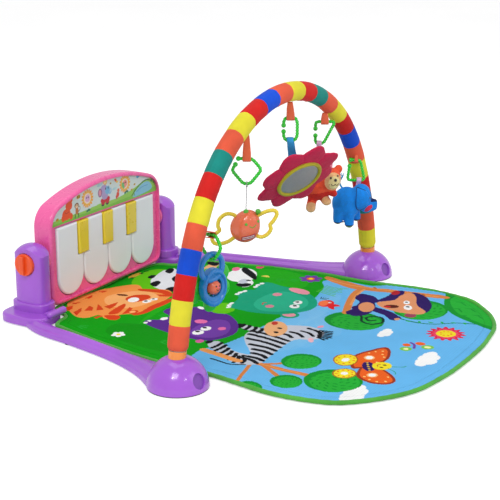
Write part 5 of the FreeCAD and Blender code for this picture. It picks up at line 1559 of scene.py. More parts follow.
def build_bug_cord():
    rod = at(HINGE["bug"], 0, -43)
    t = np.linspace(0, 1, 80)
    top, low = rod + UP * -3.6, BUG + UP * 24 + SIDE * 0.3
    path = top + (low - top) * t[:, None] + SIDE * (0.25 * np.sin(t * 60))[:, None]
    line = tube(path, 0.72, "grey_cord", seg=10)
    a = np.linspace(0, FULL_TURN, 40, endpoint=False)
    path = rod + UP[None, :] * (np.cos(a) * 3.9)[:, None] + FACE[None, :] * (np.sin(a) * 3.9)[:, None]
    ring = tube(path, 0.7, "grey_cord", closed=True, seg=10)
    knot = ball(top + UP * -1.2, 1.7, "grey_cord", sub=3, noise_amp=0.2, noise_scale=900)
    hand_over(join("bug_hanging_cord", [line, ring, knot]), "bug", "bug_cord")


build_bug_body()
build_bug_face()
build_bug_feelers()
build_bug_wings()
build_bug_cord()

# ------------------------------------------------------------------ flower with mirror
# The flower hangs tilted: its face normal and two directions in its plane
FLOWER = np.array([52.0, 0, 260.0])
FLOWER_FACE = unit([-0.299, -0.7185, -0.626])
FLOWER_V = unit(np.cross(FLOWER_FACE, unit([0.569, -0.662, 0.489])))
FLOWER_U = np.cross(FLOWER_V, FLOWER_FACE)
PETALS = 8
MIRROR_RADIUS = 38.4


def flower_ring(radius, angle, height):
    """Points round the flower at a radius and height off its middle plane, mm."""
    height = np.broadcast_to(height, angle.shape)
    return (FLOWER + FLOWER_U * (radius * np.cos(angle))[:, None]
            + FLOWER_V * (radius * np.sin(angle))[:, None] + FLOWER_FACE * height[:, None])


def build_petals():
    ring_count = 40
    th = np.linspace(0, FULL_TURN, 320, endpoint=False)
    from_notch = (th * PETALS / (2 * np.pi)) % 1.0 - 0.5  # 0 between petals
    c = np.cos(PETALS * th)
    outline = (76.6 + 6.4 * np.sign(c) * np.abs(c) ** 0.85
               - 2.2 * np.exp(-(from_notch / 0.07) ** 2))
    shares = list(np.linspace(0.0, 1.0, ring_count) ** 0.8)
    rows = []
    # front from the middle outwards, round the edge, and back in behind
    for side in (1, -1):
        for q in shares[::side]:
            puff = 4.6 * np.sqrt(np.clip(1 - q ** 7, 0, 1))
            crease = (np.exp(-(np.abs(from_notch) / 0.045) ** 2)
                      * np.clip((q - 0.55) / 0.45, 0, 1) ** 1.2)
            puff = puff * (1 - 0.34 * crease)
            # stitched line just inside the edge
            puff = puff - 0.5 * np.exp(-((q - 0.94) / 0.012) ** 2)
            height = -4.2 + side * puff
            wave = 1.6 * np.sin(3 * th + 0.7) * q ** 2 + 1.1 * np.sin(5 * th + 2.0) * q ** 3
            if side == 1:
                height = height + (0.35 if q < 0.55 else 0.0)
            rows.append(flower_ring(outline * q, th, height + wave))
    rows = np.array(rows)
    uneven = layered_noise(rows.reshape(-1, 3) * 0.001, 60, 12, 3).reshape(rows.shape[:2]) * 0.5
    uneven[0] = uneven[0].mean()
    uneven[-1] = uneven[-1].mean()
    ob = welded_sheet(rows + FLOWER_FACE * uneven[:, :, None], "crimson_felt", "felt_flower")
    hand_over(ob, "flower", "flower_petals")


def build_mirror():
    """A slightly domed and wavy foil disc with a flat back."""
    th = np.linspace(0, FULL_TURN, 96, endpoint=False)
    rows = [flower_ring(MIRROR_RADIUS * q, th,
                        2.2 + 0.5 * (1 - q * q) + 0.10 * np.sin(3 * th) * q)
            for q in np.linspace(0, 1, 18)]
    rows += [flower_ring(MIRROR_RADIUS * q, th, 0.3) for q in (1.0, 0.0)]
    ob = welded_sheet(rows, "mirror_foil", "mirror_foil")
    hand_over(ob, "flower", "flower_mirror")
    a = np.linspace(0, FULL_TURN, 360, endpoint=False)
    radius = 3.6 + 0.12 * np.sin(a * 120) + 0.15 * np.sin(a * 7)
    rim = tube(flower_ring(MIRROR_RADIUS + 3.0, a, 1.6), radius, "olive_trim", "mirror_binding",
               closed=True, seg=18, up=FLOWER_FACE)
    hand_over(rim, "flower", "mirror_rim")


def ribbon_path(rod, low, steps, arc_steps, gap, closing, bow_out=0.0, bow_back=0.0):
    """Up from low, over the link's rod and down again; the two legs close on each other."""
    rod, low = np.asarray(rod, float), np.asarray(low, float)
    down = unit(low - rod)
    side = np.cross(SIDE, down)
    over = 4.1
    points = []

    def add_leg(i, sign, bow):
        t = i / steps
        apart = over * (1 - min(1, t * closing)) + gap + bow * math.sin(math.pi * t)
        points.append(rod + (low - rod) * t + sign * side * apart)

    for i in range(steps, -1, -1):
        add_leg(i, 1, bow_out)
    for i in range(1, arc_steps):
        a = math.pi * i / arc_steps
        points.append(rod + side * (over + gap) * math.cos(a) - down * (over + gap) * math.sin(a))
    for i in range(steps + 1):
        add_leg(i, -1, bow_back)
    return np.array(points), down


def build_flower_ribbon():
    rod = at(HINGE["flower"], 0, -41)
    low = FLOWER + FLOWER_V * 24 - FLOWER_FACE * 9.5
    points, down = ribbon_path(rod, low, steps=26, arc_steps=18, gap=0.95, closing=2.4,
                               bow_out=1.2, bow_back=-0.4)
    widths = 12.0 + 4.6 * np.clip((points - rod) @ down / 45.0, 0, 1)
    ob = strip(points, SIDE, widths, 1.5, "blue_ribbon", "flower_ribbon", bulge=0.5)
    hand_over(ob, "flower", "flower_strap")


def build_toy_ribbon(toy, rod, low):
    points, _ = ribbon_path(rod, low, steps=20, arc_steps=16, gap=0.75, closing=2.2)
    ob = strip(points, SIDE, 9.0, 1.2, "pink_ribbon", toy + "_hanger", bulge=0.2)
    hand_over(ob, toy, toy + "_ribbon")


build_petals()
build_mirror()
build_flower_ribbon()

# ------------------------------------------------------------------ bear
BEAR = np.array([147.0, 13.0, 224.0])
BEAR_HEAD = at(BEAR, 22, 15, 6)
# The two feet: (across, up, out) from the body centre
BEAR_FOOT_1 = (-11.5, -37.5, 10)
BEAR_FOOT_2 = (17, -26, 8)
BEAR_FORMS = [
    ((0, -4, 0), (22.5, 20, 21)),
    ((22, 15, 6), (20.5, 19, 21.5)),
    ((38, 33, 2), (7.5, 5, 8.5)),
    ((7, 35, 2), (8, 5, 8)),
    ((-7, -16, 4), (-11, -33, 7), 9.0, 8.6),
    (BEAR_FOOT_1, (9.3, 11.5, 8.6)),
    ((11, -15, 2), (15, -25, 5), 8.5, 8.0),
    (BEAR_FOOT_2, (8.8, 10, 7.5)),
    ((-12, 4, 4), (-25, -2, 9), 7.5, 7.0),
    ((14, -4, 6), (29, -10, 12), 7.0, 6.8)]
# Muzzle ellipse on the head: centre and half sizes (across, up)
MUZZLE_AT = (7.5, -2.5)
MUZZLE_SIZE = (11.0, 12.5)


def bear_tan_mask(c):
    """The face and the soles."""
    a, n, z = local(c, BEAR_HEAD)
    face = ((a - 5.5) / 15.5) ** 2 + ((z + 1.0) / 17.0) ** 2 < 1
    a1, n1, z1 = local(c, at(BEAR, *BEAR_FOOT_1))
    a2, n2, z2 = local(c, at(BEAR, *BEAR_FOOT_2))
    feet = ((np.hypot(a1, z1) < 10.5) & (n1 > 0.5)) | ((np.hypot(a2, z2) < 9.6) & (n2 > 1.5))
    return (face & (n > 3)) | feet


# Band across the lower belly in a darker red: painted shade under the body
def bear_belly_shade_mask(c):
    a, n, z = local(c, BEAR)
    return (z < -9 + 0.15 * a) & (z > -24 + 1.5 * np.sin(a * 0.5))


def build_bear_body():
    ob = stuffed_body("bear_body", BEAR, BEAR_FORMS, "bear_plush", voxel=1.9, smoothing=9)
    c = coords(ob) * MM_PER_M
    a, n, z = local(c, BEAR_HEAD)
    seam = np.exp(-((a + 0.35 * z - 1.0) / 0.7) ** 2) * (n < -4)
    set_coords(ob, (c - normals(ob) * (0.9 * seam)[:, None]) * MM)
    soften(ob, amp=0.30, scale=90, seed=4)
    # the lower belly band takes the darker red as painted shade, the face and soles take tan
    paint_faces(ob, [(bear_belly_shade_mask, 2), (bear_tan_mask, 1)],
                ["bear_plush", "bear_tan", "bear_scarf"])
    return hand_over(ob, "bear", "bear_plush")


def muzzle_bulge(q):
    """Height of the muzzle at share q of its radius."""
    return 2.6 * math.sqrt(max(0, 1 - q ** 3))


def face_outward(ob, centre):
    """Flip an open patch if it looks towards the centre (mm)."""
    away = coords(ob).mean(0) * MM_PER_M - centre
    if away @ normals(ob).mean(0) < 0:
        bm = bmesh.new()
        bm.from_mesh(ob.data)
        bmesh.ops.reverse_faces(bm, faces=bm.faces)
        bm.to_mesh(ob.data)
        bm.free()
    shade_smooth(ob)


def build_bear_face(body):
    cast = ray_caster(body)

    def hit(across, up, lift):
        return on_front(cast, BEAR_HEAD, 18, across, up, lift)

    rings, around = 12, 40
    rows = []
    for i in range(rings):
        q = i / (rings - 1)
        row = []
        for j in range(around):
            t = 2 * math.pi * j / around
            p, normal = hit(MUZZLE_AT[0] + MUZZLE_SIZE[0] * q * math.cos(t),
                            MUZZLE_AT[1] + MUZZLE_SIZE[1] * q * math.sin(t), 0.0)
            row.append(p + normal * (muzzle_bulge(q) - (0.4 if q > 0.99 else 0)))
        rows.append(row)
    rows = np.array(rows)
    rows[0] = rows[0].mean(0)
    muzzle = welded_sheet(rows, "muzzle_plush")
    face_outward(muzzle, BEAR_HEAD)
    parts = [muzzle]
    # two eyes and a nose: across, up, radius, extra lift
    for a, z, radius, lift in ((1.5, 7.0, 2.0, 1.6), (13.5, 9.5, 1.8, 1.2), (9.0, 2.6, 2.9, 2.4)):
        p, normal = hit(a, z, 0.4)
        parts.append(spot(p + normal * lift, normal, radius, "black_plastic", 1.1))
    for middle in (5.2, 11.6):
        points = []
        for t in np.linspace(0, 1, 12):
            a, z = middle - 3.2 + 6.4 * t, -3.6 - 2.8 * math.sin(math.pi * t)
            p, normal = hit(a, z, 0)
            q = min(1.0, math.hypot((a - MUZZLE_AT[0]) / MUZZLE_SIZE[0],
                                    (z - MUZZLE_AT[1]) / MUZZLE_SIZE[1]))
            points.append(p + normal * (muzzle_bulge(q) + 0.25))
        parts.append(tube(points, 0.5, "dark_thread", seg=8))
    # cheek spots
    for a, z, radius, lift in ((0.5, -4.5, 2.6, 1.2), (15.5, -0.5, 2.0, 1.0)):
        p, normal = hit(a, z, 0.2)
        parts.append(spot(p + normal * lift, normal, radius, "bear_scarf", 0.6))
    hand_over(join("bear_face", parts), "bear")


def build_bear_tag():
    """A small checked tag on the head."""
    points = [at(BEAR, 22, 33 + i * 0.9, -2 - 0.10 * i) for i in range(14)]
    tag = strip(points, SIDE, [10 + 0.25 * i for i in range(14)], 1.6, "tag_check", "bear_tag")
    hand_over(tag, "bear")


build_bear_face(build_bear_body())
build_bear_tag()
bear_rod = at(HINGE["bear"], -10, -41)
build_toy_ribbon("bear", bear_rod, (bear_rod[0], bear_rod[1], BEAR[2] + 21))

# ------------------------------------------------------------------ elephant
ELEPHANT = np.array([249.0, -12.0, 171.0])
ELEPHANT_FORMS = [
    ((-13, 2, 0), (26.5, 21, 31)),
    ((14, 14, 2), (20, 19, 25)),
    ((24, -3, 3), (13, 12, 13)),
    ((28, -7, 3), (37, -6, 3), 8.0, 7.4),
    ((38, -5, 3), (38.5, 4.5, 3), 7.2, 6.4),
    ((-27, -10, 8), (-29, -28, 9), 11.0, 9.3),
    ((-8, -14, 8), (-7.5, -35.5, 9.5), 9.8, 9.0),
    ((-22, -12, -8), (-20, -27, -9), 9.5, 8.6),
    ((4, -14, -8), (7, -28, -9), 9.0, 8.4)]
# Feet: across, out, sole's reach, sole's top height, height and radius of the bound edge
ELEPHANT_FEET = [(-29, 9, 12, -34, -33.6, 9.0), (-7.5, 9.5, 12, -39.5, -39.2, 8.9),
                 (-20, -9, 11, -32.5, -32.2, 8.4), (7, -9, 11, -33, -32.8, 8.2)]
# Ear outline, (across, up)
EAR = [(21, 30), (12, 33.5), (6, 34), (5.2, 26), (4.2, 12), (3.6, 2), (5, -5), (10.5, -8.5),
       (17, -6), (24, 0), (29, 10), (28, 22)]
EAR_CENTRE = np.array([16.0, 14.0])


def sole_mask(c):
    a, n, z = local(c, ELEPHANT)
    mask = np.zeros(len(c), bool)
    for foot_a, foot_n, reach, top, _, _ in ELEPHANT_FEET:
        mask |= (np.hypot(a - foot_a, n - foot_n) < reach) & (z < top)
    return mask


def trunk_tip_mask(c):
    a, n, z = local(c, at(ELEPHANT, 38.5, 4.5, 3))
    return (z > 1.4) & (np.hypot(a, n) < 9)


def mouth_mask(c):
    """Wedge between the lower lip and the trunk."""
    a, n, z = local(c, ELEPHANT)
    u = (a - 28.5) * 0.75 + (z + 6.0) * 0.66
    v = -(a - 28.5) * 0.66 + (z + 6.0) * 0.75
    return (n > 4) & ((u / 9.5) ** 2 + (v / 4.6) ** 2 < 1)


def build_elephant_body():
    ob = stuffed_body("elephant_body", ELEPHANT, ELEPHANT_FORMS, "elephant_plush", voxel=2.0,
                      smoothing=8)
    soften(ob, amp=0.32, scale=80, seed=14)
    paint_faces(ob, [(sole_mask, 1), (trunk_tip_mask, 2), (mouth_mask, 3)],
                ["elephant_plush", "foot_pad_cloth", "navy_thread", "mouth_cloth"])
    return hand_over(ob, "elephant", "elephant_plush")


def build_elephant_ears(cast):
    """On each side a padded ear lying on the head, part of its edge in navy, and an eye."""
    outline = flat_path(EAR, per=8, closed=True)
    parts = []
    for face in (1, -1):
        front, back = [], []
        for q in np.linspace(0, 1, 16):
            front_row, back_row = [], []
            for x, y in outline:
                a, z = EAR_CENTRE + (np.array([x, y]) - EAR_CENTRE) * q
                p, normal = on_front(cast, ELEPHANT, 10, a, z, 0.0, face)
                lift = 0.7 + 2.3 * math.sqrt(max(0.0, 1 - q ** 6))
                open_edge = np.clip((12 - a) / 10.0, 0, 1) * q ** 3 * 1.5
                front_row.append(p + normal * (lift + open_edge))
                back_row.append(p + normal * (-0.4 + open_edge * 0.8))
            front.append(front_row)
            back.append(back_row)
        rows = np.array(front + back[::-1])
        rows[0] = rows[0].mean(0)
        rows[-1] = rows[-1].mean(0)
        parts.append(welded_sheet(rows, "elephant_plush"))
        parts.append(tube(front[-1][:72], 0.85, "navy_thread", seg=8))
    for face in (1, -1):
        parts.append(spot(*on_front(cast, ELEPHANT, 10, 30.5, 15.5, 0.2, face), 1.9,
                          "black_plastic", 0.9))
    hand_over(join("elephant_ears", parts), "elephant")


def build_foot_edges(cast):
    parts = []
    for foot_a, foot_n, _, _, height, radius in ELEPHANT_FEET:
        centre = at(ELEPHANT, foot_a, height, foot_n)
        path = []
        for t in np.linspace(0, FULL_TURN, 60, endpoint=False):
            d = SIDE * math.cos(t) + FACE * math.sin(t)
            place, _ = cast(centre + d * 14, -d)
            # a miss, or a hit on some other part, falls back to the plain radius
            if place is None or not 3 <= np.linalg.norm(place - centre) <= radius + 3:
                place = centre + d * radius
            path.append(place)
        parts.append(tube(path, 0.75, "navy_thread", closed=True, seg=8))
    hand_over(join("elephant_seams", parts), "elephant")


def build_elephant_tail():
    """A short cord with a frayed end."""
    stations = [(-22, 31, -2), (-26, 38, -3), (-27, 44, -2), (-24, 51, 0), (-21.5, 56, 1)]
    path = smooth_path([at(ELEPHANT, *s) for s in stations], per=10)
    t = np.linspace(0, 1, len(path))
    parts = [tube(path, 1.9 + 0.25 * np.sin(t * 70) - 0.3 * t, "tail_cord", seg=12)]
    for k in (-1, 0, 1):
        stations = [(-21.5, 54, 1), (-20 + 2.6 * k - 3, 58, 1 + k), (-20 + 4.2 * k - 4, 61.5, 1 + k)]
        path = smooth_path([at(ELEPHANT, *s) for s in stations], per=6)
        parts.append(tube(path, 0.75, "tail_cord", seg=8))
    hand_over(join("elephant_tail", parts), "elephant")


elephant_cast = ray_caster(build_elephant_body())
build_elephant_ears(elephant_cast)
build_foot_edges(elephant_cast)
build_elephant_tail()
elephant_rod = at(HINGE["elephant"], 6, -40)
build_toy_ribbon("elephant", elephant_rod,
                 (elephant_rod[0] - 1.0, elephant_rod[1] + 1.0, ELEPHANT[2] + 30))

# ------------------------------------------------------------------ rattle
RATTLE = np.array([-236.0, 0, 137.0])
RATTLE_SIDE = unit([0.954, -0.30, 0])
RATTLE_FACE = unit([-0.30, -0.954, 0])
# Section of the ring, (radius, height along its axis)
RING_SECTION = [
    (16.0, -6.5), (16.3, -7.6), (17.5, -8.0), (29, -8.0), (31.5, -7.2), (32.8, -5.2), (33.1, 0),
    (32.8, 5.2), (31.4, 7.2), (29.4, 8.0), (26.4, 8.0), (25.0, 7.4), (24.0, 6.2), (22.4, 4.8),
    (19.4, 4.4), (16.8, 4.0), (16.0, 3.0), (15.9, 0)]
# Upper half of a leaf's section, (share of its radius, height)
LEAF_SECTION = [(0, 3.1), (0.5, 3.0), (0.82, 2.7), (0.95, 1.9), (1, 0.5)]
HUB_SECTION = [(11.0, 3.0), (27.5, 3.0), (28.6, 2.4), (29, 1.2)]
# Leaves: direction from the centre in degrees, radius
LEAVES = [(152, 15.2), (28, 15.2), (278, 14.6), (200, 15.0), (340, 15.0)]
BALL_RADIUS = 12.5


def lathe(centre, profile, material, seg=96):
    """Turned shape round RATTLE_FACE; profile is a list of (radius, height), mm."""
    third = np.cross(RATTLE_FACE, RATTLE_SIDE)
    t = np.linspace(0, FULL_TURN, seg, endpoint=False)
    circle = RATTLE_SIDE[None, :] * np.cos(t)[:, None] + third[None, :] * np.sin(t)[:, None]
    return welded_sheet([centre + RATTLE_FACE * h + circle * r for r, h in profile], material)


def both_sides(half):
    """A section mirrored to the other side of height 0."""
    return half + [(r, -h) for r, h in reversed(half)]


def build_rattle_frame():
    section = list(flat_path(RING_SECTION, per=4, closed=True))
    ring = lathe(RATTLE, section + [section[0]], "blue_plastic")
    # the rim is oval, the hole is round
    c = coords(ring) * MM_PER_M - RATTLE
    across, up, out = c @ RATTLE_SIDE, c @ UP, c @ RATTLE_FACE
    k = 1 - 0.26 * np.clip((np.hypot(across, up) - 16) / 17.0, 0, 1)
    set_coords(ring, (RATTLE + RATTLE_SIDE[None, :] * (across * k)[:, None]
                      + UP[None, :] * up[:, None] + RATTLE_FACE[None, :] * out[:, None]) * MM)
    # round handle, its top passing over the link's lowest rod
    handle_top = HINGE["rattle"][2] - 41 + 2.6 + 5.6
    t = np.linspace(0, FULL_TURN, 160, endpoint=False)
    centre = np.array([-240.0, 0, handle_top - 22])
    path = centre + RATTLE_SIDE * (22.5 * np.sin(t))[:, None] + UP * (22 * np.cos(t))[:, None]
    handle = tube(path, 5.0, "blue_plastic", closed=True, seg=20, up=RATTLE_FACE)
    pin = bar(RATTLE + UP * 22, RATTLE - UP * 22, 1.45, 1.45, "blue_plastic")
    hand_over(join("rattle_handle", [ring, handle, pin]), "rattle",
              "rattle_frame")


def build_rattle_ball():
    front = unit(RATTLE_FACE * 0.93 + np.array([-0.25, 0, 0]) + UP * 0.1)
    side = unit(np.cross(UP, front)) * -1
    if side @ RATTLE_SIDE < 0:
        side = -side

    def on_ball(a, z, lift=0.0):
        """Point and normal at angles a across and z up, in radians."""
        d = unit(side * math.sin(a) * math.cos(z) + UP * math.sin(z)
                 + front * math.cos(a) * math.cos(z))
        return RATTLE + d * (BALL_RADIUS + lift), d

    parts = [ball(RATTLE, BALL_RADIUS, "coral_plastic", sub=5)]
    for a, z in ((0.02, 0.25), (0.62, 0.22)):
        parts.append(spot(*on_ball(a, z), 1.5, "black_plastic", 0.7))
    smile = [on_ball(0.62 * t, -0.12 - 0.24 * math.sin(math.pi * t), 0.1)[0]
             for t in np.linspace(0, 1, 12)]
    parts.append(tube(smile, 0.5, "black_plastic", seg=8))
    parts.append(spot(*on_ball(0.32, 0.08, 0.2), 1.2, "pink_plastic", 0.8))
    hand_over(join("rattle_face_ball", parts), "rattle_spinner", "rattle_ball")


def build_rattle_leaves():
    hub = RATTLE - RATTLE_FACE * 13
    parts = []
    for angle, radius in LEAVES:
        t = math.radians(angle)
        d = RATTLE_SIDE * math.cos(t) + UP * math.sin(t)
        centre = hub + d * 33
        section = both_sides([(radius * share, h) for share, h in LEAF_SECTION])
        parts.append(lathe(centre, section, "leaf_plastic", seg=64))
        # raised vein
        parts.append(bar(centre - d * 4 + RATTLE_FACE * 2.8,
                         centre + d * (radius - 4.5) + RATTLE_FACE * 2.5, 0.9, 0.6,
                         "leaf_plastic", seg=10))
    parts.append(lathe(hub, both_sides(HUB_SECTION) + [(10.8, 0), HUB_SECTION[0]],
                       "leaf_plastic"))
    hand_over(join("rattle_leaves", parts), "rattle", "rattle_petals")


build_rattle_frame()
build_rattle_ball()
build_rattle_leaves()

# ------------------------------------------------------------------ picture on the piano
# Upright film facing -Y. Its top is a wide arc that runs into a rounded shoulder at each end.
PICTURE_HALF_WIDTH = 167.7
PICTURE_BOTTOM = 162.6
PICTURE_FRONT_Y, PICTURE_BACK_Y = 396.12, 396.90
ARC_RADIUS, ARC_CENTRE_Z = 429.0, -210.0
SHOULDER_RADIUS, SHOULDER_X, SHOULDER_Z = 36.0, 132.0, 160.2
POND, POND_LEAF = srgb(132, 196, 226), srgb(20, 120, 96)
ORANGE_COAT, BROWN, LAVENDER = srgb(238, 84, 34), srgb(120, 74, 44), srgb(176, 160, 212)
TRUNK_BLUE, DARK_BLUE, SLATE = srgb(122, 184, 226), srgb(44, 44, 62), srgb(60, 60, 70)
BEE_STRIPE = srgb(50, 44, 30)


def picture_top(x):
    x = np.abs(x)
    arc = ARC_CENTRE_Z + np.sqrt(ARC_RADIUS * ARC_RADIUS - x * x)
    shoulder = SHOULDER_Z + np.sqrt(np.maximum(0, SHOULDER_RADIUS ** 2 - (x - SHOULDER_X) ** 2))
    tangent_x = SHOULDER_X / (ARC_RADIUS - SHOULDER_RADIUS) * ARC_RADIUS
    return np.where(x > tangent_x, np.minimum(shoulder, arc), arc) - 0.15


def sun_flower(art, x, z, r, core):
    art.ring((x, z), (r * 0.84, r * 0.84), 16, 2 * math.pi / 16, r * 0.22, r * 0.14,
             srgb(244, 160, 46), turned=True)
    art.oval(x, z, r * 0.80, r * 0.80, srgb(242, 186, 72))
    art.oval(x, z, r * 0.60, r * 0.60, srgb(246, 226, 214))
    art.oval(x, z, r * 0.44, r * 0.44, core)
    for dx in (-0.16, 0.16):
        art.oval(x + r * dx, z + r * 0.1, r * 0.09, r * 0.09, srgb(60, 60, 90))


def little_bee(art, x, z, size):
    art.ovals((x, z + 2.4 * size, 2.2 * size, 3.0 * size, srgb(226, 236, 240), 30),
              (x, z, 4.0 * size, 2.6 * size, srgb(222, 178, 34), 10),
              (x + 1.4 * size, z, 0.7 * size, 2.4 * size, BEE_STRIPE),
              (x - 1.4 * size, z, 0.7 * size, 2.2 * size, BEE_STRIPE))


def paint_picture_ground(art):
    for cx, cz, k in ((-62, 214, 0.45), (-18, 213, 0.5), (86, 213, 0.5), (28, 196, 0.4),
                      (-104, 204, 0.35), (134, 203, 0.4)):
        art.oval(cx, cz, 13 * k * 1.4, 4.5 * k * 1.4, srgb(150, 204, 222), 8, 0.7)
        art.oval(cx + 4, cz + 1, 7 * k * 1.4, 3 * k * 1.4, srgb(190, 222, 232), 0, 0.8)
    # meadow rising towards +X, with a pond
    art.blob([(-170, 160), (-170, 171), (-120, 174), (-70, 173), (-20, 176), (30, 175),
              (80, 181), (120, 190), (145, 193), (170, 188), (170, 160)], srgb(150, 206, 86))
    art.blob([(-170, 160), (-170, 166), (-90, 168), (0, 168), (90, 170), (170, 172),
              (170, 160)], srgb(126, 194, 66))
    art.line([(84, 170), (98, 180), (118, 189), (136, 192), (152, 186)], 2.2,
             srgb(42, 110, 62))
    art.blob([(88, 166), (100, 178), (120, 187), (138, 188), (150, 180), (150, 170),
              (120, 166)], POND)
    art.line([(100, 174), (118, 180), (138, 181)], 1.4, srgb(90, 160, 206))
    for x, z, k in ((152, 184, 1.0), (160, 180, 1.2), (164, 176, 0.9), (-12, 172, 0.4),
                    (92, 168, 0.5), (60, 178, 0.4)):
        art.blob([(x - 3.5 * k, z), (x, z + 18 * k), (x + 3.5 * k, z)], srgb(66, 146, 74),
                 curved=False)


def paint_picture_figures(art):
    # orange animal
    art.ovals((-121, 178, 12.5, 11, ORANGE_COAT), (-113, 193, 10, 9, ORANGE_COAT),
              (-120.5, 201, 3.6, 3.6, ORANGE_COAT), (-105, 202, 3.6, 3.6, ORANGE_COAT),
              (-131, 172, 5.4, 6, ORANGE_COAT), (-108, 172, 5.4, 6.4, ORANGE_COAT))
    art.line([(-126, 183), (-121, 180), (-114, 182)], 1.2, srgb(176, 48, 20))
    # brown and cream animal
    art.ovals((-90, 178, 4.6, 7, srgb(196, 120, 60)), (-90, 188, 6.4, 5.6, BROWN),
              (-90, 187, 4.2, 3.8, srgb(244, 206, 170)), (-91.6, 188, 0.8, 0.8, BLACK),
              (-88.2, 188, 0.8, 0.8, BLACK))
    art.line([(-86, 176), (-80, 180), (-82, 186)], 1.4, BROWN)
    art.line([(-95, 172), (-96, 166)], 2.4, SLATE)
    art.line([(-86, 172), (-85, 166)], 2.4, SLATE)
    # large flowers
    sun_flower(art, -57, 195, 17, srgb(222, 176, 214))
    sun_flower(art, 62, 199, 17, srgb(244, 150, 140))
    art.oval(56, 196, 4, 7, srgb(110, 190, 120), 30)
    # lavender-blue animal in red trousers
    art.ovals((-10, 173, 5.0, 4.2, DARK_BLUE), (4, 173, 5.0, 4.2, DARK_BLUE))
    art.blob([(-14, 174), (-15, 184), (10, 185), (10, 175), (3, 172), (-2, 176), (-7, 172)],
             srgb(204, 34, 52))
    art.ovals((-3, 189, 10, 8.0, srgb(178, 158, 206)), (-6, 201, 11, 9.5, LAVENDER),
              (6, 198, 8, 8.5, TRUNK_BLUE), (-18, 197, 6.5, 8.5, srgb(150, 104, 150)),
              (-18, 197, 4.0, 6.0, srgb(226, 150, 170)), (0, 202, 1.5, 1.9, BLACK),
              (8, 202, 1.4, 1.8, BLACK))
    art.line([(8, 193), (13, 190), (17, 194), (16, 199)], 2.6, TRUNK_BLUE)
    sun_flower(art, -1, 216, 6.5, srgb(250, 232, 130))
    # small red animal and leafy plants
    art.ovals((38, 182, 4.6, 5.6, srgb(226, 74, 50)), (40, 190, 3.8, 3.8, srgb(230, 100, 66)),
              (34, 177, 2.2, 4.6, srgb(206, 54, 40), 20),
              (-58, 171, 4.2, 2.2, POND_LEAF, 25), (-53, 172, 4.2, 2.2, POND_LEAF, -25),
              (64, 181, 4.2, 2.2, POND_LEAF, 25), (69, 182, 4.2, 2.2, POND_LEAF, -25))
    # bees and birds
    for x, z, size in ((-148, 174, 1.1), (-84, 204, 1.5), (84, 182, 0.8), (94, 191, 0.8),
                       (16, 209, 0.7)):
        little_bee(art, x, z, size)
    art.oval(32, 212, 5.2, 2.6, srgb(232, 92, 60), -40)
    art.oval(37, 208, 3.4, 2.2, srgb(250, 206, 70), 10)
    art.blob([(100, 204), (106, 212), (112, 213), (118, 208), (122, 203), (112, 204),
              (106, 201)], srgb(70, 176, 220))
    art.oval(108, 209, 3.2, 3.2, srgb(110, 200, 236))
    art.line([(116, 206), (124, 209)], 2.0, srgb(40, 130, 190))


def build_picture():
    nu, nv = ((300, 56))
    columns = np.linspace(-PICTURE_HALF_WIDTH, PICTURE_HALF_WIDTH, nu)
    grid_x = np.repeat(columns[:, None], nv, 1)
    t = np.linspace(0, 1, nv)[None, :]
    tops = np.maximum(picture_top(columns), PICTURE_BOTTOM + 0.3)[:, None]
    x, z = grid_x.ravel(), (PICTURE_BOTTOM + (tops - PICTURE_BOTTOM) * t).ravel()
    art = Paint(x, z, srgb(212, 226, 228))
    paint_picture_ground(art)
    paint_picture_figures(art)
    n = nu * nv
    front = np.stack([x, np.full(n, PICTURE_FRONT_Y), z], 1)
    # the two side edges bend back a little
    from_side = np.minimum((x - x.min()) / 0.4, (x.max() - x) / 0.4)
    front[:, 1] += 0.25 * (1 - np.clip(from_side, 0, 1))
    back = np.stack([x, np.full(n, PICTURE_BACK_Y), z], 1)
    front_faces = grid(grid_x)
    faces = front_faces + [tuple(n + i for i in reversed(f)) for f in front_faces]
    rim = ([(i, 0) for i in range(nu)] + [(nu - 1, j) for j in range(1, nv)]
           + [(i, nv - 1) for i in range(nu - 2, -1, -1)] + [(0, j) for j in range(nv - 2, 0, -1)])
    ids = [i * nv + j for i, j in rim]
    for a, b in zip(ids, ids[1:] + ids[:1]):
        faces.append((b, a, a + n, b + n))
    ob = new_object("piano_picture", np.concatenate([front, back]) * MM, faces,
                    [MAT["picture_film"]], smooth=False)
    fix_normals(ob)
    add_print(ob, art, (225, 230, 230))
    hand_over(ob, "piano", "label_plate")


build_picture()


# ------------------------------------------------------------------ stage
def build_floor():
    """White floor that looks brighter to the camera than it is to the lights."""
    shader = Shader("floor_white")
    drift = shader.noise(scale=2.0, detail=2.0)
    base = shader.mix(shader.remap(drift, 0, 1), (0.90, 0.90, 0.905), (0.93, 0.93, 0.93))
    seen = shader.node("LightPath").outputs["Is Camera Ray"]
    shader.surface({"Base Color": base, "Roughness": 0.55, "Emission Color": (1, 1, 1, 1),
                    "Emission Strength": shader.math("MULTIPLY", seen, 0.36)})
    half = 6
    corners = [(-half, -half, 0), (half, -half, 0), (half, half, 0), (-half, half, 0)]
    floor = new_object("floor_plane", corners, [(0, 1, 2, 3)], [shader.material], smooth=False)
    floor.location = (0, 0, -0.0004)


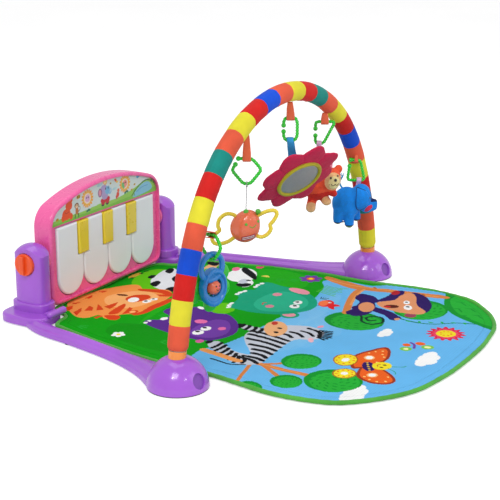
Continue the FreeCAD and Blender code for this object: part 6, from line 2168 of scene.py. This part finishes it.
def build_world(room_light=0.66):
    """Even white room light; the backdrop stays plain white whatever the room light is."""
    world = bpy.data.worlds.new("studio")
    bpy.context.scene.world = world
    world.use_nodes = True
    nodes, links = world.node_tree.nodes, world.node_tree.links
    room = nodes["Background"]
    seen = nodes.new("ShaderNodeLightPath")
    backdrop = nodes.new("ShaderNodeBackground")
    for background, strength in ((room, room_light), (backdrop, 1.0)):
        background.inputs[0].default_value = (1.0, 1.0, 1.0, 1)
        background.inputs[1].default_value = strength
    pick = nodes.new("ShaderNodeMixShader")
    links.new(seen.outputs["Is Camera Ray"], pick.inputs[0])
    links.new(room.outputs[0], pick.inputs[1])
    links.new(backdrop.outputs[0], pick.inputs[2])
    links.new(pick.outputs[0], nodes["World Output"].inputs[0])


# name, place, target, side of the square (m), power (W)
LIGHTS = [
    ("key_light", (-2.2, -0.6, 2.6), (0, 0, 0.1), 1.2, 27),
    ("fill_light", (0.6, -2.8, 1.8), (0, 0, 0.1), 1.6, 10),
    ("top_light", (0.3, 0.6, 3.2), (0, 0, 0), 2.0, 16),
    ("glint_left", (-2.3, -0.3, 2.0), (-0.3, 0.1, 0.1), 0.22, 4.5),
    ("glint_right", (-1.2, -2.3, 1.9), (-0.3, 0.0, 0.1), 0.2, 3.5)]


def add_light(name, place, target, size, power):
    light = bpy.data.lights.new(name, "AREA")
    light.shape = "SQUARE"
    light.size = size
    light.energy = power
    ob = bpy.data.objects.new(name, light)
    bpy.context.scene.collection.objects.link(ob)
    ob.location = place
    ob.rotation_euler = (Vector(target) - Vector(place)).to_track_quat("-Z", "Y").to_euler()


def add_camera():
    camera = bpy.data.cameras.new("camera")
    camera.lens = 93.6
    camera.sensor_width = 36.0
    camera.clip_start = 0.05
    ob = bpy.data.objects.new("camera", camera)
    bpy.context.scene.collection.objects.link(ob)
    ob.location = (-1.94113, -1.09776, 0.80831)
    ob.rotation_euler = (math.radians(73.305), 0.0, math.radians(-58.939))
    bpy.context.scene.camera = ob


build_floor()
bpy.context.scene.view_settings.view_transform = "Standard"
bpy.context.scene.view_settings.look = "None"
build_world()
for row in LIGHTS:
    add_light(*row)
add_camera()
